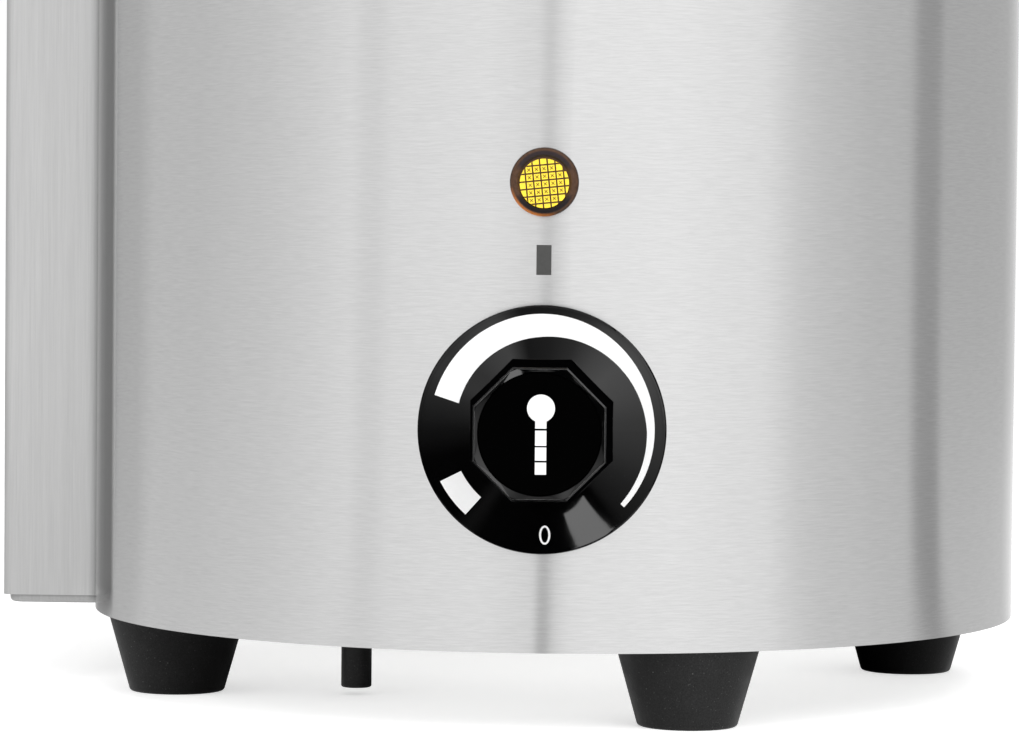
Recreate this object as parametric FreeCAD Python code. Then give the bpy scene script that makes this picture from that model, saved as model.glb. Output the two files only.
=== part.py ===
"""Hot dog steamer: a round steam base with a lift-off glass cylinder, and a bun toaster box behind it.

Millimetres. X points right, Y away from the operator, Z up. The steam base stands round the line x = 0,
y = 0 while it is being modelled, and every piece is moved at the end so that the origin is the bottom
centre of the machine's box.
"""
import FreeCAD
import Part
import math
import os
from FreeCAD import Placement, Rotation, Vector

# Sheet, clearances and cutting
sheet = 1.0
fit_gap = 0.3
close_gap = 0.1
running_gap = 0.06
overrun = 2.0
bend = 1.0
same_point = 0.000001

# Round steam base
shell_radius = 130.0
shell_height = 185.0
foot_drop = 21.0
plate_recess = 3.0
plate_flange = 12.0
plate_vent_length = 26.0
plate_vent_width = 4.0
plate_vent_share = 0.4
plate_vent_count = 8

# Conical rubber feet
foot_bottom_radius = 13.0
foot_shoulder_radius = 18.9
foot_edge_round = 1.0
foot_bore_radius = 7.0
foot_bore_depth = 11.0
foot_screw_radius = 2.5
foot_head_radius = 4.8
foot_head_height = 3.2
foot_socket_depth = 1.6
foot_washer_radius = 6.4
foot_washer_thickness = 1.2
foot_nut_radius = 4.6
foot_nut_height = 4.0
foot_screw_end = 2.0
foot_turn = 20.1
foot_names = ("front", "right", "rear", "left")

# Deck with the gutter that the glass stands in
glass_inset = 25.0
glass_wall = 4.0
glass_height = 200.0
seal_wall = 1.5
seal_height = 9.0
gutter_depth = 7.0
gutter_gap = 0.6
ridge_rise = 2.0
ridge_width = 5.0
deck_skirt = 10.0
deck_edge_round = 0.8

# Water tank, whose floor clears the regulator
tank_clearance = 14.0
tank_corner = 10.0
tank_flange = 3.4

# Tubular heater that lies in the water
heater_tube_radius = 4.25
heater_inset = 34.0
heater_lift = 15.0
heater_bend = 11.0
heater_leg_spacing = 24.6
heater_tail = 16.0
heater_nut_radius = 9.0
heater_nut_height = 6.0
heater_washer_radius = 9.5
heater_washer_thickness = 1.5
heater_pin_radius = 1.6
heater_pin_length = 9.0

# Drain stub that reaches under the base
drain_radius = 3.0
drain_bore_radius = 2.2
drain_flange_radius = 8.0
drain_inset = 26.2
drain_turn = -51.5
drain_hole_gap = 1.5
cap_radius = 4.2
cap_floor_gap = 2.0
cap_length = 20.0
cap_end = 3.0
cap_edge_round = 0.6

# Dry-boil cut-out under the tank
cutout_radius = 12.5
cutout_height = 11.0
cutout_flange_radius = 16.0
cutout_flange_height = 1.5
cutout_button_radius = 3.0
cutout_button_height = 4.0
cutout_tab_width = 6.3
cutout_tab_thickness = 0.8
cutout_tab_length = 8.0
cutout_tab_spacing = 12.5

# Control knob
knob_rise = 57.0
knob_gap = 1.0
knob_skirt_radius = 31.5
knob_rim_height = 2.6
knob_rim_wall = 0.9
knob_rim_round = 0.7
knob_cone_top_radius = 17.0
knob_cone_height = 7.2
knob_skirt_dip = 1.3
knob_dish_share = 0.85
knob_wall = 1.8
knob_grip_base_flats = 36.5
knob_grip_top_flats = 33.0
knob_grip_height = 18.0
knob_grip_chamfer = 0.35
knob_lip_depth = 0.8
knob_lip_flat = 0.8
knob_lip_corner = 1.65
knob_cap_radius = 15.3
knob_cap_thickness = 1.4
knob_cap_round = 0.35
knob_hub_radius = 6.0
knob_hub_step = 1.3
knob_clip_thickness = 0.5
knob_clip_width = 4.0
knob_clip_length = 12.0
knob_rib_thickness = 1.4
knob_rib_count = 8

# Energy regulator behind the knob
shaft_radius = 3.0
shaft_flat_depth = 1.2
shaft_insert = 6.0
bush_radius = 5.0
bush_collar_radius = 8.0
bush_collar_height = 2.5
bush_proud = 0.6
bracket_width = 12.0
bracket_height = 44.0
bracket_thickness = 1.5
bracket_screw_spacing = 28.0
screw_radius = 2.0
screw_head_radius = 3.6
screw_head_height = 2.0
screw_length = 6.0
screw_slot_width = 0.9
screw_slot_depth = 0.9
regulator_width = 38.0
regulator_height = 42.0
regulator_depth = 28.0
regulator_round = 2.5
tab_width = 6.3
tab_thickness = 0.8
tab_length = 8.0
tab_columns = 2
tab_rows = 3

# Indicator lamp
lamp_rise = 119.6
lamp_radius = 8.75
lamp_height = 3.2
lamp_edge_round = 1.4
lamp_window_radius = 6.45
lamp_window_depth = 0.5
lamp_barrel_radius = 6.3
lamp_barrel_length = 7.0
lamp_wall = 1.1
lamp_diffuser_thickness = 1.2
lamp_body_length = 9.0
lamp_tab_length = 6.0
lamp_tab_spacing = 7.0
lamp_tab_width = 2.8
lamp_nut_radius = 9.0
lamp_nut_height = 3.0
lamp_bulb_radius = 2.4
lamp_bulb_length = 4.5
lamp_bulb_round = 2.2

# Glass trim and lid
rim_seal_height = 6.0
lid_overhang = 2.2
lid_skirt = 9.0
lid_step = 3.0
lid_dome_rise = 14.0
lid_shoulder_share = 0.45
lid_crown_round = 150.0
lid_vent_radius = 2.5
lid_vent_count = 3
lid_knob_radius = 19.0
lid_knob_neck_radius = 9.0
lid_knob_neck_height = 9.0
lid_knob_height = 27.0
lid_knob_round = 5.0
lid_knob_under = 3.0
lid_knob_under_round = 2.0
lid_knob_waist_radius = 7.5
lid_washer_radius = 12.0
lid_washer_thickness = 1.2
lid_stud_radius = 2.5
lid_stud_head_radius = 5.0
lid_stud_head_height = 3.0

# Sausage basket
tray_lift = 34.0
tray_gap = 6.0
tray_rim = 14.0
tray_hole_radius = 5.0
tray_hole_shares = (0.43, 0.75)
tray_hole_counts = (8, 14)
leg_radius = 3.0
leg_inset = 10.0
leg_count = 3
handle_headroom = 23.0
divider_thickness = 1.0
divider_edge_gap = 4.0
divider_round = 14.0
divider_frame = 14.0
divider_window_rows = 3
divider_window_round = 6.0
sleeve_radius = 6.0
rod_radius = 4.0
rod_rise = 24.0
rod_nut_radius = 7.5
rod_nut_height = 5.0
ball_radius = 9.0
ball_neck_height = 5.0

# Toaster box behind the base
box_side_step = 26.5
box_front_step = 9.0
box_reach = 210.0
box_drop = 5.0
box_corner = 2.5
box_rear_corner = 12.0
box_side_start = 24.0
tray_show = 2.3
tray_flange = 14.0
tray_corner = 5.0
tray_edge_round = 1.2
top_flange = 10.0
top_edge_round = 0.6
box_foot_inset = 34.0
louvre_length = 46.0
louvre_width = 3.5
louvre_pitch = 11.0
louvre_count = 7
louvre_drop = 62.0
box_screw_inset = 26.0
box_screw_radius = 1.75
box_screw_head_radius = 3.4
box_screw_head_height = 1.9
box_screw_length = 7.0

# Toasting spikes
spike_base_radius = 11.5
spike_tip_radius = 8.0
spike_height = 205.0
spike_point_share = 0.2
spike_nose_radius = 3.5
spike_nose_round = 2.8
spike_base_round = 0.9
spike_shank_radius = 8.0
spike_shank_length = 22.0
spike_bore_radius = 4.3
spike_bore_share = 0.7
spike_spacing_x = 132.0
spike_spacing_y = 96.0
spike_rear_inset = 52.0
collar_radius = 18.0
collar_height = 5.0
collar_spigot_wall = 2.0
collar_spigot_length = 3.0
collar_round = 1.2
spike_nut_radius = 13.0
spike_nut_height = 7.0
cartridge_radius = 4.15
cartridge_lead_radius = 1.2
cartridge_lead_length = 14.0
cartridge_lead_spacing = 4.2

# Rocker switch on the left side of the box
switch_offset = 70.0
switch_width = 25.0
switch_height = 33.0
switch_frame_thickness = 2.2
switch_frame_round = 2.0
switch_wall = 3.0
switch_body_depth = 22.0
switch_body_margin = 1.6
switch_body_round = 0.5
switch_tab_spacing = 15.0
rocker_gap = 0.5
rocker_tilt = 9.0
rocker_proud = 2.4
rocker_hollow = 1.2
rocker_sink = 3.5

# Cable gland at the back and the parts inside the box
gland_side_step = 52.0
gland_rise = 46.0
gland_hex_radius = 12.5
gland_hex_height = 6.0
gland_dome_radius = 10.5
gland_dome_height = 14.0
gland_dome_round = 4.0
gland_thread_radius = 8.0
gland_thread_length = 9.0
gland_bore_radius = 4.4
gland_nut_height = 5.0
block_length = 58.0
block_width = 22.0
block_height = 18.0
block_pole_count = 5
block_screw_radius = 2.6
block_screw_depth = 6.0
block_screw_spacing = 11.0
block_front_share = 0.5
grommet_radius = 11.0
grommet_bore_radius = 8.0
grommet_lip = 2.0
grommet_lip_height = 1.6
grommet_rise = 40.0
snap_radius = 8.0
snap_height = 7.0
snap_flange_radius = 12.0
snap_flange_height = 1.2
snap_tab_spacing = 8.0

# Heights and places worked out from the sizes above
rim_z = foot_drop
shell_inner = shell_radius - sheet
shell_top = rim_z + shell_height
deck_top = shell_top + sheet
plate_z = rim_z + plate_recess
plate_radius = shell_inner - fit_gap
plate_vent_circle = plate_radius * plate_vent_share
foot_circle = shell_inner - fit_gap - foot_shoulder_radius
glass_radius = shell_radius - glass_inset
seal_outer = glass_radius + seal_wall
seal_inner = glass_radius - glass_wall - seal_wall
gutter_outer = seal_outer + gutter_gap
gutter_inner = seal_inner - gutter_gap
gutter_floor = deck_top - gutter_depth
ridge_top = deck_top + ridge_rise
tank_radius = gutter_inner - ridge_width
glass_bottom = gutter_floor + seal_wall
glass_top = glass_bottom + glass_height
lid_seat = glass_top + seal_wall
knob_z = rim_z + knob_rise
lamp_z = rim_z + lamp_rise
tank_floor = knob_z + regulator_height / 2 + tank_clearance
heater_ring_radius = tank_radius - heater_inset
drain_circle = tank_radius - drain_inset
tray_z = tank_floor + tray_lift
tray_radius = tank_radius - tray_gap
leg_circle = tray_radius - leg_inset
ball_top = lid_seat - handle_headroom
divider_top = ball_top - 2 * ball_radius - rod_rise
lid_shoulder_radius = glass_radius * lid_shoulder_share
box_left = -(shell_radius + box_side_step)
box_right = shell_radius
box_front = -box_front_step
box_rear = shell_radius + box_reach
box_top = shell_top - box_drop
wrapper_bottom = rim_z + tray_show
tray_step = sheet + fit_gap
spike_centre_x = (box_left + box_right) / 2
spike_centre_y = box_rear - spike_rear_inset - spike_spacing_y / 2
collar_top = box_top + collar_height
switch_y = box_front + switch_offset
gland_x = box_left + gland_side_step
gland_z = rim_z + gland_rise
knob_front = knob_gap + knob_cone_height + knob_grip_height
knob_cap_front = knob_front - knob_lip_depth

# Frames of the pieces that stand on a wall: local z points out of the wall and local y up
facing_front = Rotation(Vector(1, 0, 0), Vector(0, 0, 1), Vector(0, -1, 0), "ZXY")
facing_left = Rotation(Vector(0, -1, 0), Vector(0, 0, 1), Vector(-1, 0, 0), "ZXY")
facing_back = Rotation(Vector(-1, 0, 0), Vector(0, 0, 1), Vector(0, 1, 0), "ZXY")
knob_place = Placement(Vector(0, -shell_radius, knob_z), facing_front)
lamp_place = Placement(Vector(0, -shell_radius, lamp_z), facing_front)
switch_place = Placement(Vector(box_left, switch_y, knob_z), facing_left)
gland_place = Placement(Vector(gland_x, box_rear, gland_z), facing_back)

nodes = {}


def keep(name, *shapes):
    """Adds a node made of one or more separate solids."""
    nodes[name] = list(shapes)


def sag(radius, half_width):
    """How far a round wall falls away from its tangent plane at half_width to the side."""
    return radius - math.sqrt(radius ** 2 - half_width ** 2)


def polar(radius, degrees):
    """A point round the base: 0 degrees is the front, and positive angles go to the right."""
    turn = math.radians(degrees)
    return Vector(radius * math.sin(turn), -radius * math.cos(turn), 0)


def placed(shape, place):
    """A copy of the shape, carried to a frame."""
    copy = shape.copy()
    copy.Placement = place.multiply(copy.Placement)
    return copy


def moved(shape, x=0, y=0, z=0):
    """A copy of the shape, shifted."""
    return placed(shape, Placement(Vector(x, y, z), Rotation()))


def cylinder(radius, low, high):
    return Part.makeCylinder(radius, high - low, Vector(0, 0, low))


def tube(outer, inner, low, high):
    return cylinder(outer, low, high).cut(cylinder(inner, low - overrun, high + overrun))


def block(x_low, x_high, y_low, y_high, z_low, z_high):
    corner = Vector(x_low, y_low, z_low)
    return Part.makeBox(x_high - x_low, y_high - y_low, z_high - z_low, corner)


def rounded_wire(points, upright=False):
    """A closed outline through (a, b) or (a, b, corner radius), lying in XY or standing in XZ."""
    flat = [Vector(p[0], p[1], 0) for p in points]
    radii = [p[2] if len(p) > 2 else 0 for p in points]
    ends, arcs = [], []
    for i, corner in enumerate(flat):
        before, after = flat[i - 1], flat[(i + 1) % len(flat)]
        u = (before - corner).normalize()
        v = (after - corner).normalize()
        half = u.getAngle(v) / 2
        if radii[i] > 0 and abs(math.cos(half)) > math.sin(math.radians(1)):
            reach = radii[i] / math.tan(half)
            middle = (u + v).normalize()
            centre = corner + middle * (radii[i] / math.sin(half))
            ends.append((corner + u * reach, corner + v * reach))
            arcs.append(centre - middle * radii[i])
        else:
            ends.append((corner, corner))
            arcs.append(None)
    edges = []
    for i, (start, end) in enumerate(ends):
        if arcs[i] is not None:
            edges.append(Part.Arc(start, arcs[i], end).toShape())
        following = ends[(i + 1) % len(ends)][0]
        if (following - end).Length > same_point:
            edges.append(Part.LineSegment(end, following).toShape())
    wire = Part.Wire(edges)
    if upright:
        wire.rotate(Vector(0, 0, 0), Vector(1, 0, 0), 90)
    return wire


def strip_points(points, thickness, inner_bend):
    """The closed outline of a folded strip: the given line and its copy to the left, with bend radii."""
    line = [Vector(p[0], p[1], 0) for p in points]
    sides = []
    for a, b in zip(line, line[1:]):
        along = (b - a).normalize()
        sides.append((along, Vector(-along.y, along.x, 0)))
    right, left = [], []
    for i, point in enumerate(line):
        if i in (0, len(line) - 1):
            normal = sides[min(i, len(sides) - 1)][1]
            shifted = point + normal * thickness
            right.append((point.x, point.y, 0))
            left.append((shifted.x, shifted.y, 0))
            continue
        (d0, n0), (d1, n1) = sides[i - 1], sides[i]
        mitre = (n0 + n1).normalize()
        shifted = point + mitre * (thickness / mitre.dot(n1))
        turns_left = d0.cross(d1).z > 0
        wanted = inner_bend if len(points[i]) < 3 else points[i][2]
        inner = wanted
        outer = wanted + thickness if wanted > 0 else 0
        right.append((point.x, point.y, outer if turns_left else inner))
        left.append((shifted.x, shifted.y, inner if turns_left else outer))
    return right + left[::-1]


def turned(points):
    """A solid of revolution round Z from an outline of (radius, height[, corner radius])."""
    face = Part.Face(rounded_wire(points, upright=True))
    return face.revolve(Vector(0, 0, 0), Vector(0, 0, 1), 360)


def turned_sheet(points, thickness, inner_bend=0.0):
    """A spun sheet: a folded strip turned round Z."""
    return turned(strip_points(points, thickness, inner_bend))


def prism(points, low, high):
    """An outline in plan, raised from low to high."""
    face = Part.Face(rounded_wire(points))
    face.translate(Vector(0, 0, low))
    return face.extrude(Vector(0, 0, high - low))


def many_sided(sides, flats, low, high, top_flats=None):
    """A prism with a flat side facing +Y, or a tapered one if top_flats differs from flats."""
    def outline(across, z):
        reach = across / 2 / math.cos(math.pi / sides)
        turn = math.pi / sides + math.pi / 2
        ring = []
        for i in range(sides + 1):
            angle = turn + 2 * math.pi * i / sides
            ring.append(Vector(reach * math.cos(angle), reach * math.sin(angle), z))
        return Part.makePolygon(ring)
    if top_flats is None or top_flats == flats:
        return Part.Face(outline(flats, low)).extrude(Vector(0, 0, high - low))
    return Part.makeLoft([outline(flats, low), outline(top_flats, high)], True, True)


def rounded_rectangle(width, height, corner):
    """The outline of a rectangle about the origin."""
    x, y = width / 2, height / 2
    return [(-x, -y, corner), (x, -y, corner), (x, y, corner), (-x, y, corner)]


def hexagon(radius, low, high):
    """A hexagon whose flats are the cosine of 30 degrees inside the given corner radius."""
    return many_sided(6, 2 * radius * math.cos(math.pi / 6), low, high)


def slotted_head(radius, height, low):
    """A pan head with a straight slot, its top outwards."""
    head = turned([(0, low), (radius, low), (radius, low + height, height / 2), (0, low + height)])
    half = screw_slot_width / 2
    groove = block(-radius - overrun, radius + overrun, -half, half, low + height - screw_slot_depth,
                   low + height + overrun)
    return head.cut(groove)


def wall_drill(radius):
    """A drill that runs from the base's axis out through its round wall."""
    return cylinder(radius + close_gap, -shell_radius, overrun)


def shell():
    """The round wall, drilled for the knob's bush, two screws, the lamp and the wiring passage."""
    body = tube(shell_radius, shell_inner, rim_z, shell_top)
    body = body.cut(placed(wall_drill(bush_radius), knob_place))
    body = body.cut(placed(wall_drill(lamp_barrel_radius), lamp_place))
    body = body.cut(placed(wall_drill(grommet_radius), grommet_place()))
    for side in (-1, 1):
        hole = moved(wall_drill(screw_radius), y=side * bracket_screw_spacing / 2)
        body = body.cut(placed(hole, knob_place))
    keep("base_shell", body)


def base_plate():
    """The pan that closes the base, with a turned-up flange, vents and holes for the feet and the drain."""
    line = [(0, plate_z), (plate_radius, plate_z, bend), (plate_radius, plate_z + plate_flange)]
    pan = turned_sheet(line, sheet)
    for spot in base_feet():
        hole = cylinder(foot_screw_radius + close_gap, plate_z - overrun, plate_z + sheet + overrun)
        pan = pan.cut(moved(hole, spot.x, spot.y))
    spot = polar(drain_circle, drain_turn)
    hole = cylinder(drain_radius + drain_hole_gap, plate_z - overrun, plate_z + sheet + overrun)
    pan = pan.cut(moved(hole, spot.x, spot.y))
    outline = rounded_rectangle(plate_vent_length, plate_vent_width, plate_vent_width / 2)
    slot = prism(outline, plate_z - overrun, plate_z + sheet + overrun)
    for i in range(plate_vent_count):
        turn = foot_turn + 360 * (i + 0.5) / plate_vent_count
        spot = polar(plate_vent_circle, turn)
        pan = pan.cut(placed(slot, Placement(spot, Rotation(Vector(0, 0, 1), turn + 90))))
    keep("base_plate", pan)


def foot(height):
    """A conical rubber foot standing on z = 0, its straight collar hidden inside the rim."""
    outline = [(foot_bore_radius, 0), (foot_bottom_radius, 0, foot_edge_round),
               (foot_shoulder_radius, foot_drop)]
    if height > foot_drop:
        outline.append((foot_shoulder_radius, height))
    hole = foot_screw_radius + close_gap
    outline += [(hole, height), (hole, foot_bore_depth), (foot_bore_radius, foot_bore_depth)]
    return turned(outline)


def foot_fastener(height):
    """Screw, washer and nut of one foot: the head bears on a washer inside the foot's bore."""
    hole = foot_screw_radius + close_gap
    head_top = foot_bore_depth - foot_washer_thickness
    head_low = head_top - foot_head_height
    washer = tube(foot_washer_radius, hole, head_top, foot_bore_depth)
    head = cylinder(foot_head_radius, head_low, head_top)
    socket = hexagon(foot_screw_radius, head_low - overrun, head_low + foot_socket_depth)
    nut_low = height + sheet
    nut_top = nut_low + foot_nut_height
    stem = cylinder(foot_screw_radius, head_top, nut_top + foot_screw_end)
    screw = head.cut(socket).fuse(stem)
    nut = hexagon(foot_nut_radius, nut_low, nut_top)
    nut = nut.cut(cylinder(hole, nut_low - overrun, nut_top + overrun))
    return [washer, screw, nut]


def base_feet():
    """Places of the feet under the round base."""
    return [polar(foot_circle, foot_turn + 360 * i / len(foot_names)) for i in range(len(foot_names))]


def toaster_feet():
    """Places of the feet under the back corners of the toaster box."""
    y = box_rear - box_foot_inset
    return [Vector(box_left + box_foot_inset, y, 0), Vector(box_right - box_foot_inset, y, 0)]


def feet():
    """Four feet under the round base and two under the box, with one set of fasteners each."""
    fasteners = []
    for name, spot in zip(foot_names, base_feet()):
        keep("foot_" + name, moved(foot(plate_z), spot.x, spot.y))
        fasteners += [moved(s, spot.x, spot.y) for s in foot_fastener(plate_z)]
    for name, spot in zip(("left", "right"), toaster_feet()):
        keep("toaster_foot_" + name, moved(foot(rim_z), spot.x, spot.y))
        fasteners += [moved(s, spot.x, spot.y) for s in foot_fastener(rim_z)]
    keep("foot_screws", *fasteners)


def deck():
    """One drawn ring: flat land, gutter for the glass and raised ridge round the tank's mouth."""
    skirt_radius = shell_inner - fit_gap
    land = turned([(gutter_outer, deck_top), (shell_radius, deck_top, deck_edge_round),
                   (shell_radius, shell_top), (skirt_radius, shell_top),
                   (skirt_radius, shell_top - deck_skirt),
                   (skirt_radius - sheet, shell_top - deck_skirt), (skirt_radius - sheet, shell_top),
                   (gutter_outer + sheet, shell_top), (gutter_outer + sheet, gutter_floor - sheet),
                   (gutter_inner - sheet, gutter_floor - sheet), (gutter_inner - sheet, ridge_top - sheet),
                   (tank_radius, ridge_top - sheet), (tank_radius, ridge_top),
                   (gutter_inner, ridge_top, bend), (gutter_inner, gutter_floor),
                   (gutter_outer, gutter_floor)])
    keep("deck_ring", land)


def tank():
    """A drawn pot with a flange welded under the deck's ridge, and holes for the heater and the drain."""
    flange_radius = tank_radius + tank_flange
    flange_z = ridge_top - sheet
    pot = turned([(0, tank_floor - sheet), (tank_radius, tank_floor - sheet, tank_corner),
                  (tank_radius, flange_z - sheet), (flange_radius, flange_z - sheet),
                  (flange_radius, flange_z), (tank_radius - sheet, flange_z),
                  (tank_radius - sheet, tank_floor, tank_corner - sheet),
                  (0, tank_floor)])
    spot = polar(drain_circle, drain_turn)
    drain_hole = cylinder(drain_radius + close_gap, tank_floor - sheet - overrun, tank_floor + overrun)
    pot = pot.cut(moved(drain_hole, spot.x, spot.y))
    for point in heater_legs():
        hole = cylinder(heater_tube_radius + close_gap, tank_floor - sheet - overrun, tank_floor + overrun)
        pot = pot.cut(moved(hole, point.x, point.y))
    keep("water_tank", pot)


def heater_ends():
    """Start and end of the heater's ring, each with the way the tube runs there, away from the gap."""
    reach = math.hypot(heater_ring_radius, heater_bend)
    gap = math.asin(heater_leg_spacing / 2 / reach) + math.atan2(heater_bend, heater_ring_radius)
    ends = []
    for side in (1, -1):
        turn = 180 + side * math.degrees(gap)
        ahead = polar(1, turn + side * 90)
        ends.append((polar(heater_ring_radius, turn), ahead))
    return ends


def heater_legs():
    """Places in plan where the heater's ends go down through the tank's floor."""
    return [point - ahead * heater_bend for point, ahead in heater_ends()]


def heater():
    """One tube bent into an open ring, whose ends turn down through the tank's floor."""
    ring_z = tank_floor + heater_lift
    low = tank_floor - heater_tail
    up = Vector(0, 0, 1)
    diagonal = math.sqrt(0.5)
    halves = []
    for point, ahead in heater_ends():
        leg = point - ahead * heater_bend
        centre = point + up * (ring_z - heater_bend)
        bend_low = leg + up * (ring_z - heater_bend)
        bend_mid = centre + (up - ahead) * (heater_bend * diagonal)
        bend_high = point + up * ring_z
        halves.append((leg + up * low, bend_low, bend_mid, bend_high))
    (a0, a1, a2, a3), (b0, b1, b2, b3) = halves
    ring_mid = polar(heater_ring_radius, 0) + up * ring_z
    path = Part.Wire([Part.LineSegment(a0, a1).toShape(), Part.Arc(a1, a2, a3).toShape(),
                      Part.Arc(a3, ring_mid, b3).toShape(), Part.Arc(b3, b2, b1).toShape(),
                      Part.LineSegment(b1, b0).toShape()])
    section = Part.Wire([Part.makeCircle(heater_tube_radius, a0, up)])
    rod = path.makePipeShell([section], True, False)
    keep("heating_element", rod)
    pins, nuts = [], []
    for leg in heater_legs():
        pins.append(moved(cylinder(heater_pin_radius, low - heater_pin_length, low), leg.x, leg.y))
        under = tank_floor - sheet
        nut = hexagon(heater_nut_radius, under - heater_nut_height, under)
        washer = cylinder(heater_washer_radius, tank_floor, tank_floor + heater_washer_thickness)
        bore = cylinder(heater_tube_radius + close_gap, low - overrun, ring_z)
        nuts += [moved(s.cut(bore), leg.x, leg.y) for s in (nut, washer)]
    keep("heater_pins", *pins)
    keep("heater_nuts", *nuts)


def drain():
    """A stub pipe out of the tank's floor, closed by a push-on cap that shows under the base."""
    spot = polar(drain_circle, drain_turn)
    low = cap_floor_gap + cap_end
    pipe = tube(drain_radius, drain_bore_radius, low, tank_floor)
    flange = tube(drain_flange_radius, drain_bore_radius, tank_floor, tank_floor + sheet)
    keep("drain_pipe", moved(pipe.fuse(flange), spot.x, spot.y))
    inner = drain_radius + running_gap
    top = cap_floor_gap + cap_length
    cap = turned([(0, cap_floor_gap), (cap_radius, cap_floor_gap, cap_edge_round), (cap_radius, top),
                  (inner, top), (inner, low), (0, low)])
    keep("drain_cap", moved(cap, spot.x, spot.y))


def cutout():
    """Thermal cut-out clipped under the middle of the tank, with its reset button and two tabs."""
    top = tank_floor - sheet
    body = cylinder(cutout_radius, top - cutout_height, top)
    flange = cylinder(cutout_flange_radius, top - cutout_flange_height, top)
    under = top - cutout_height
    button = cylinder(cutout_button_radius, under - cutout_button_height, under)
    whole = body.fuse(flange).fuse(button)
    for side in (-1, 1):
        x = side * cutout_tab_spacing / 2
        tab = block(x - cutout_tab_thickness / 2, x + cutout_tab_thickness / 2, -cutout_tab_width / 2,
                    cutout_tab_width / 2, under - cutout_tab_length, under)
        whole = whole.fuse(tab)
    keep("dry_boil_cutout", whole)


def dish_corner(start, end, dip, share):
    """The rounded corner of a shallow dish between two outline points: its place and its bend radius."""
    a, b = Vector(*start, 0), Vector(*end, 0)
    middle = (a + b) / 2 - Vector(0, dip, 0)
    reach = share * min((a - middle).Length, (b - middle).Length)
    half = (a - middle).getAngle(b - middle) / 2
    return (middle.x, middle.y, reach * math.tan(half))


def knob_dish():
    """The shallow dish in the grip's front: eight flats that run into a cone at the corners."""
    steps = 1 + overrun / knob_lip_depth
    low, rise = knob_cap_front, knob_lip_depth * steps
    seat = knob_cap_radius + close_gap
    top_flats = 2 * (knob_cap_radius + knob_lip_flat * steps)
    flats = many_sided(8, 2 * knob_cap_radius, low, low + rise, top_flats)
    cone = Part.makeCone(seat, seat + knob_lip_corner * steps, rise, Vector(0, 0, low))
    return flats.common(cone)


def knob():
    """Dished skirt, tapered eight-sided grip, hub and ribs in one moulding; local z runs out of the shell."""
    rim = knob_gap + knob_rim_height
    cone_top = knob_gap + knob_cone_height
    front = knob_front
    ledge = front - knob_grip_chamfer
    dish = dish_corner((knob_skirt_radius, rim), (knob_cone_top_radius, cone_top), knob_skirt_dip,
                       knob_dish_share)
    skirt = turned([(0, knob_gap), (knob_skirt_radius, knob_gap), (knob_skirt_radius, rim, knob_rim_round),
                    dish, (knob_cone_top_radius, cone_top), (0, cone_top)])
    grip = many_sided(8, knob_grip_base_flats, rim, ledge, knob_grip_top_flats)
    edge = many_sided(8, knob_grip_top_flats, ledge, front, knob_grip_top_flats - 2 * knob_grip_chamfer)
    solid = skirt.fuse(grip).fuse(edge)
    hollow = turned([(0, knob_gap - overrun), (knob_skirt_radius - knob_wall, knob_gap - overrun),
                     (knob_skirt_radius - knob_wall, rim - knob_rim_wall),
                     (knob_cone_top_radius - knob_wall, cone_top - knob_wall), (0, cone_top - knob_wall)])
    cap_seat = knob_cap_front - knob_cap_thickness - close_gap
    grip_ceiling = cap_seat - knob_wall
    grip_hollow = many_sided(8, knob_grip_base_flats - 2 * knob_wall, rim, grip_ceiling,
                             knob_grip_top_flats - 2 * knob_wall)
    solid = solid.cut(hollow).cut(grip_hollow)
    solid = solid.cut(knob_dish()).cut(cylinder(knob_cap_radius + close_gap, cap_seat, front + overrun))
    hub = cylinder(knob_hub_radius, knob_gap + knob_hub_step, grip_ceiling)
    ribs = None
    reach = (knob_grip_top_flats - knob_wall) / 2
    for i in range(knob_rib_count):
        half = knob_rib_thickness / 2
        rib = block(knob_hub_radius / 2, reach, -half, half, cone_top, grip_ceiling)
        rib.rotate(Vector(0, 0, 0), Vector(0, 0, 1), 360 * i / knob_rib_count)
        ribs = rib if ribs is None else ribs.fuse(rib)
    solid = solid.fuse(hub).fuse(ribs)
    clip_y = shaft_radius - shaft_flat_depth + close_gap / 2
    clip_slot = block(-knob_clip_width / 2 - close_gap, knob_clip_width / 2 + close_gap,
                      shaft_radius - shaft_flat_depth, clip_y + knob_clip_thickness + close_gap,
                      knob_gap, shaft_end())
    solid = solid.cut(shaft(close_gap)).cut(clip_slot).removeSplitter()
    keep("control_knob", placed(solid, knob_place))
    cap_back = knob_cap_front - knob_cap_thickness
    cap = turned([(0, cap_back), (knob_cap_radius, cap_back),
                  (knob_cap_radius, knob_cap_front, knob_cap_round), (0, knob_cap_front)])
    keep("knob_cap", placed(cap, knob_place))
    clip_low = knob_gap + knob_hub_step
    clip = block(-knob_clip_width / 2, knob_clip_width / 2, clip_y, clip_y + knob_clip_thickness,
                 clip_low, clip_low + knob_clip_length)
    keep("knob_clip", placed(clip, knob_place))


def shaft_end():
    """Where the regulator's shaft ends inside the knob's hub, measured out of the shell."""
    return knob_cap_front - knob_cap_thickness - 2 * knob_wall - close_gap


def shaft(extra=0):
    """The shaft with its flat, grown by extra for the hole that takes it."""
    low = -(sheet + bush_collar_height + shaft_insert)
    rod = cylinder(shaft_radius + extra, low, shaft_end() + extra)
    flat_y = shaft_radius - shaft_flat_depth + extra
    flat = block(-shaft_radius - overrun, shaft_radius + overrun, flat_y, shaft_radius + overrun,
                 knob_gap, shaft_end() + overrun)
    return rod.cut(flat)


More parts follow.
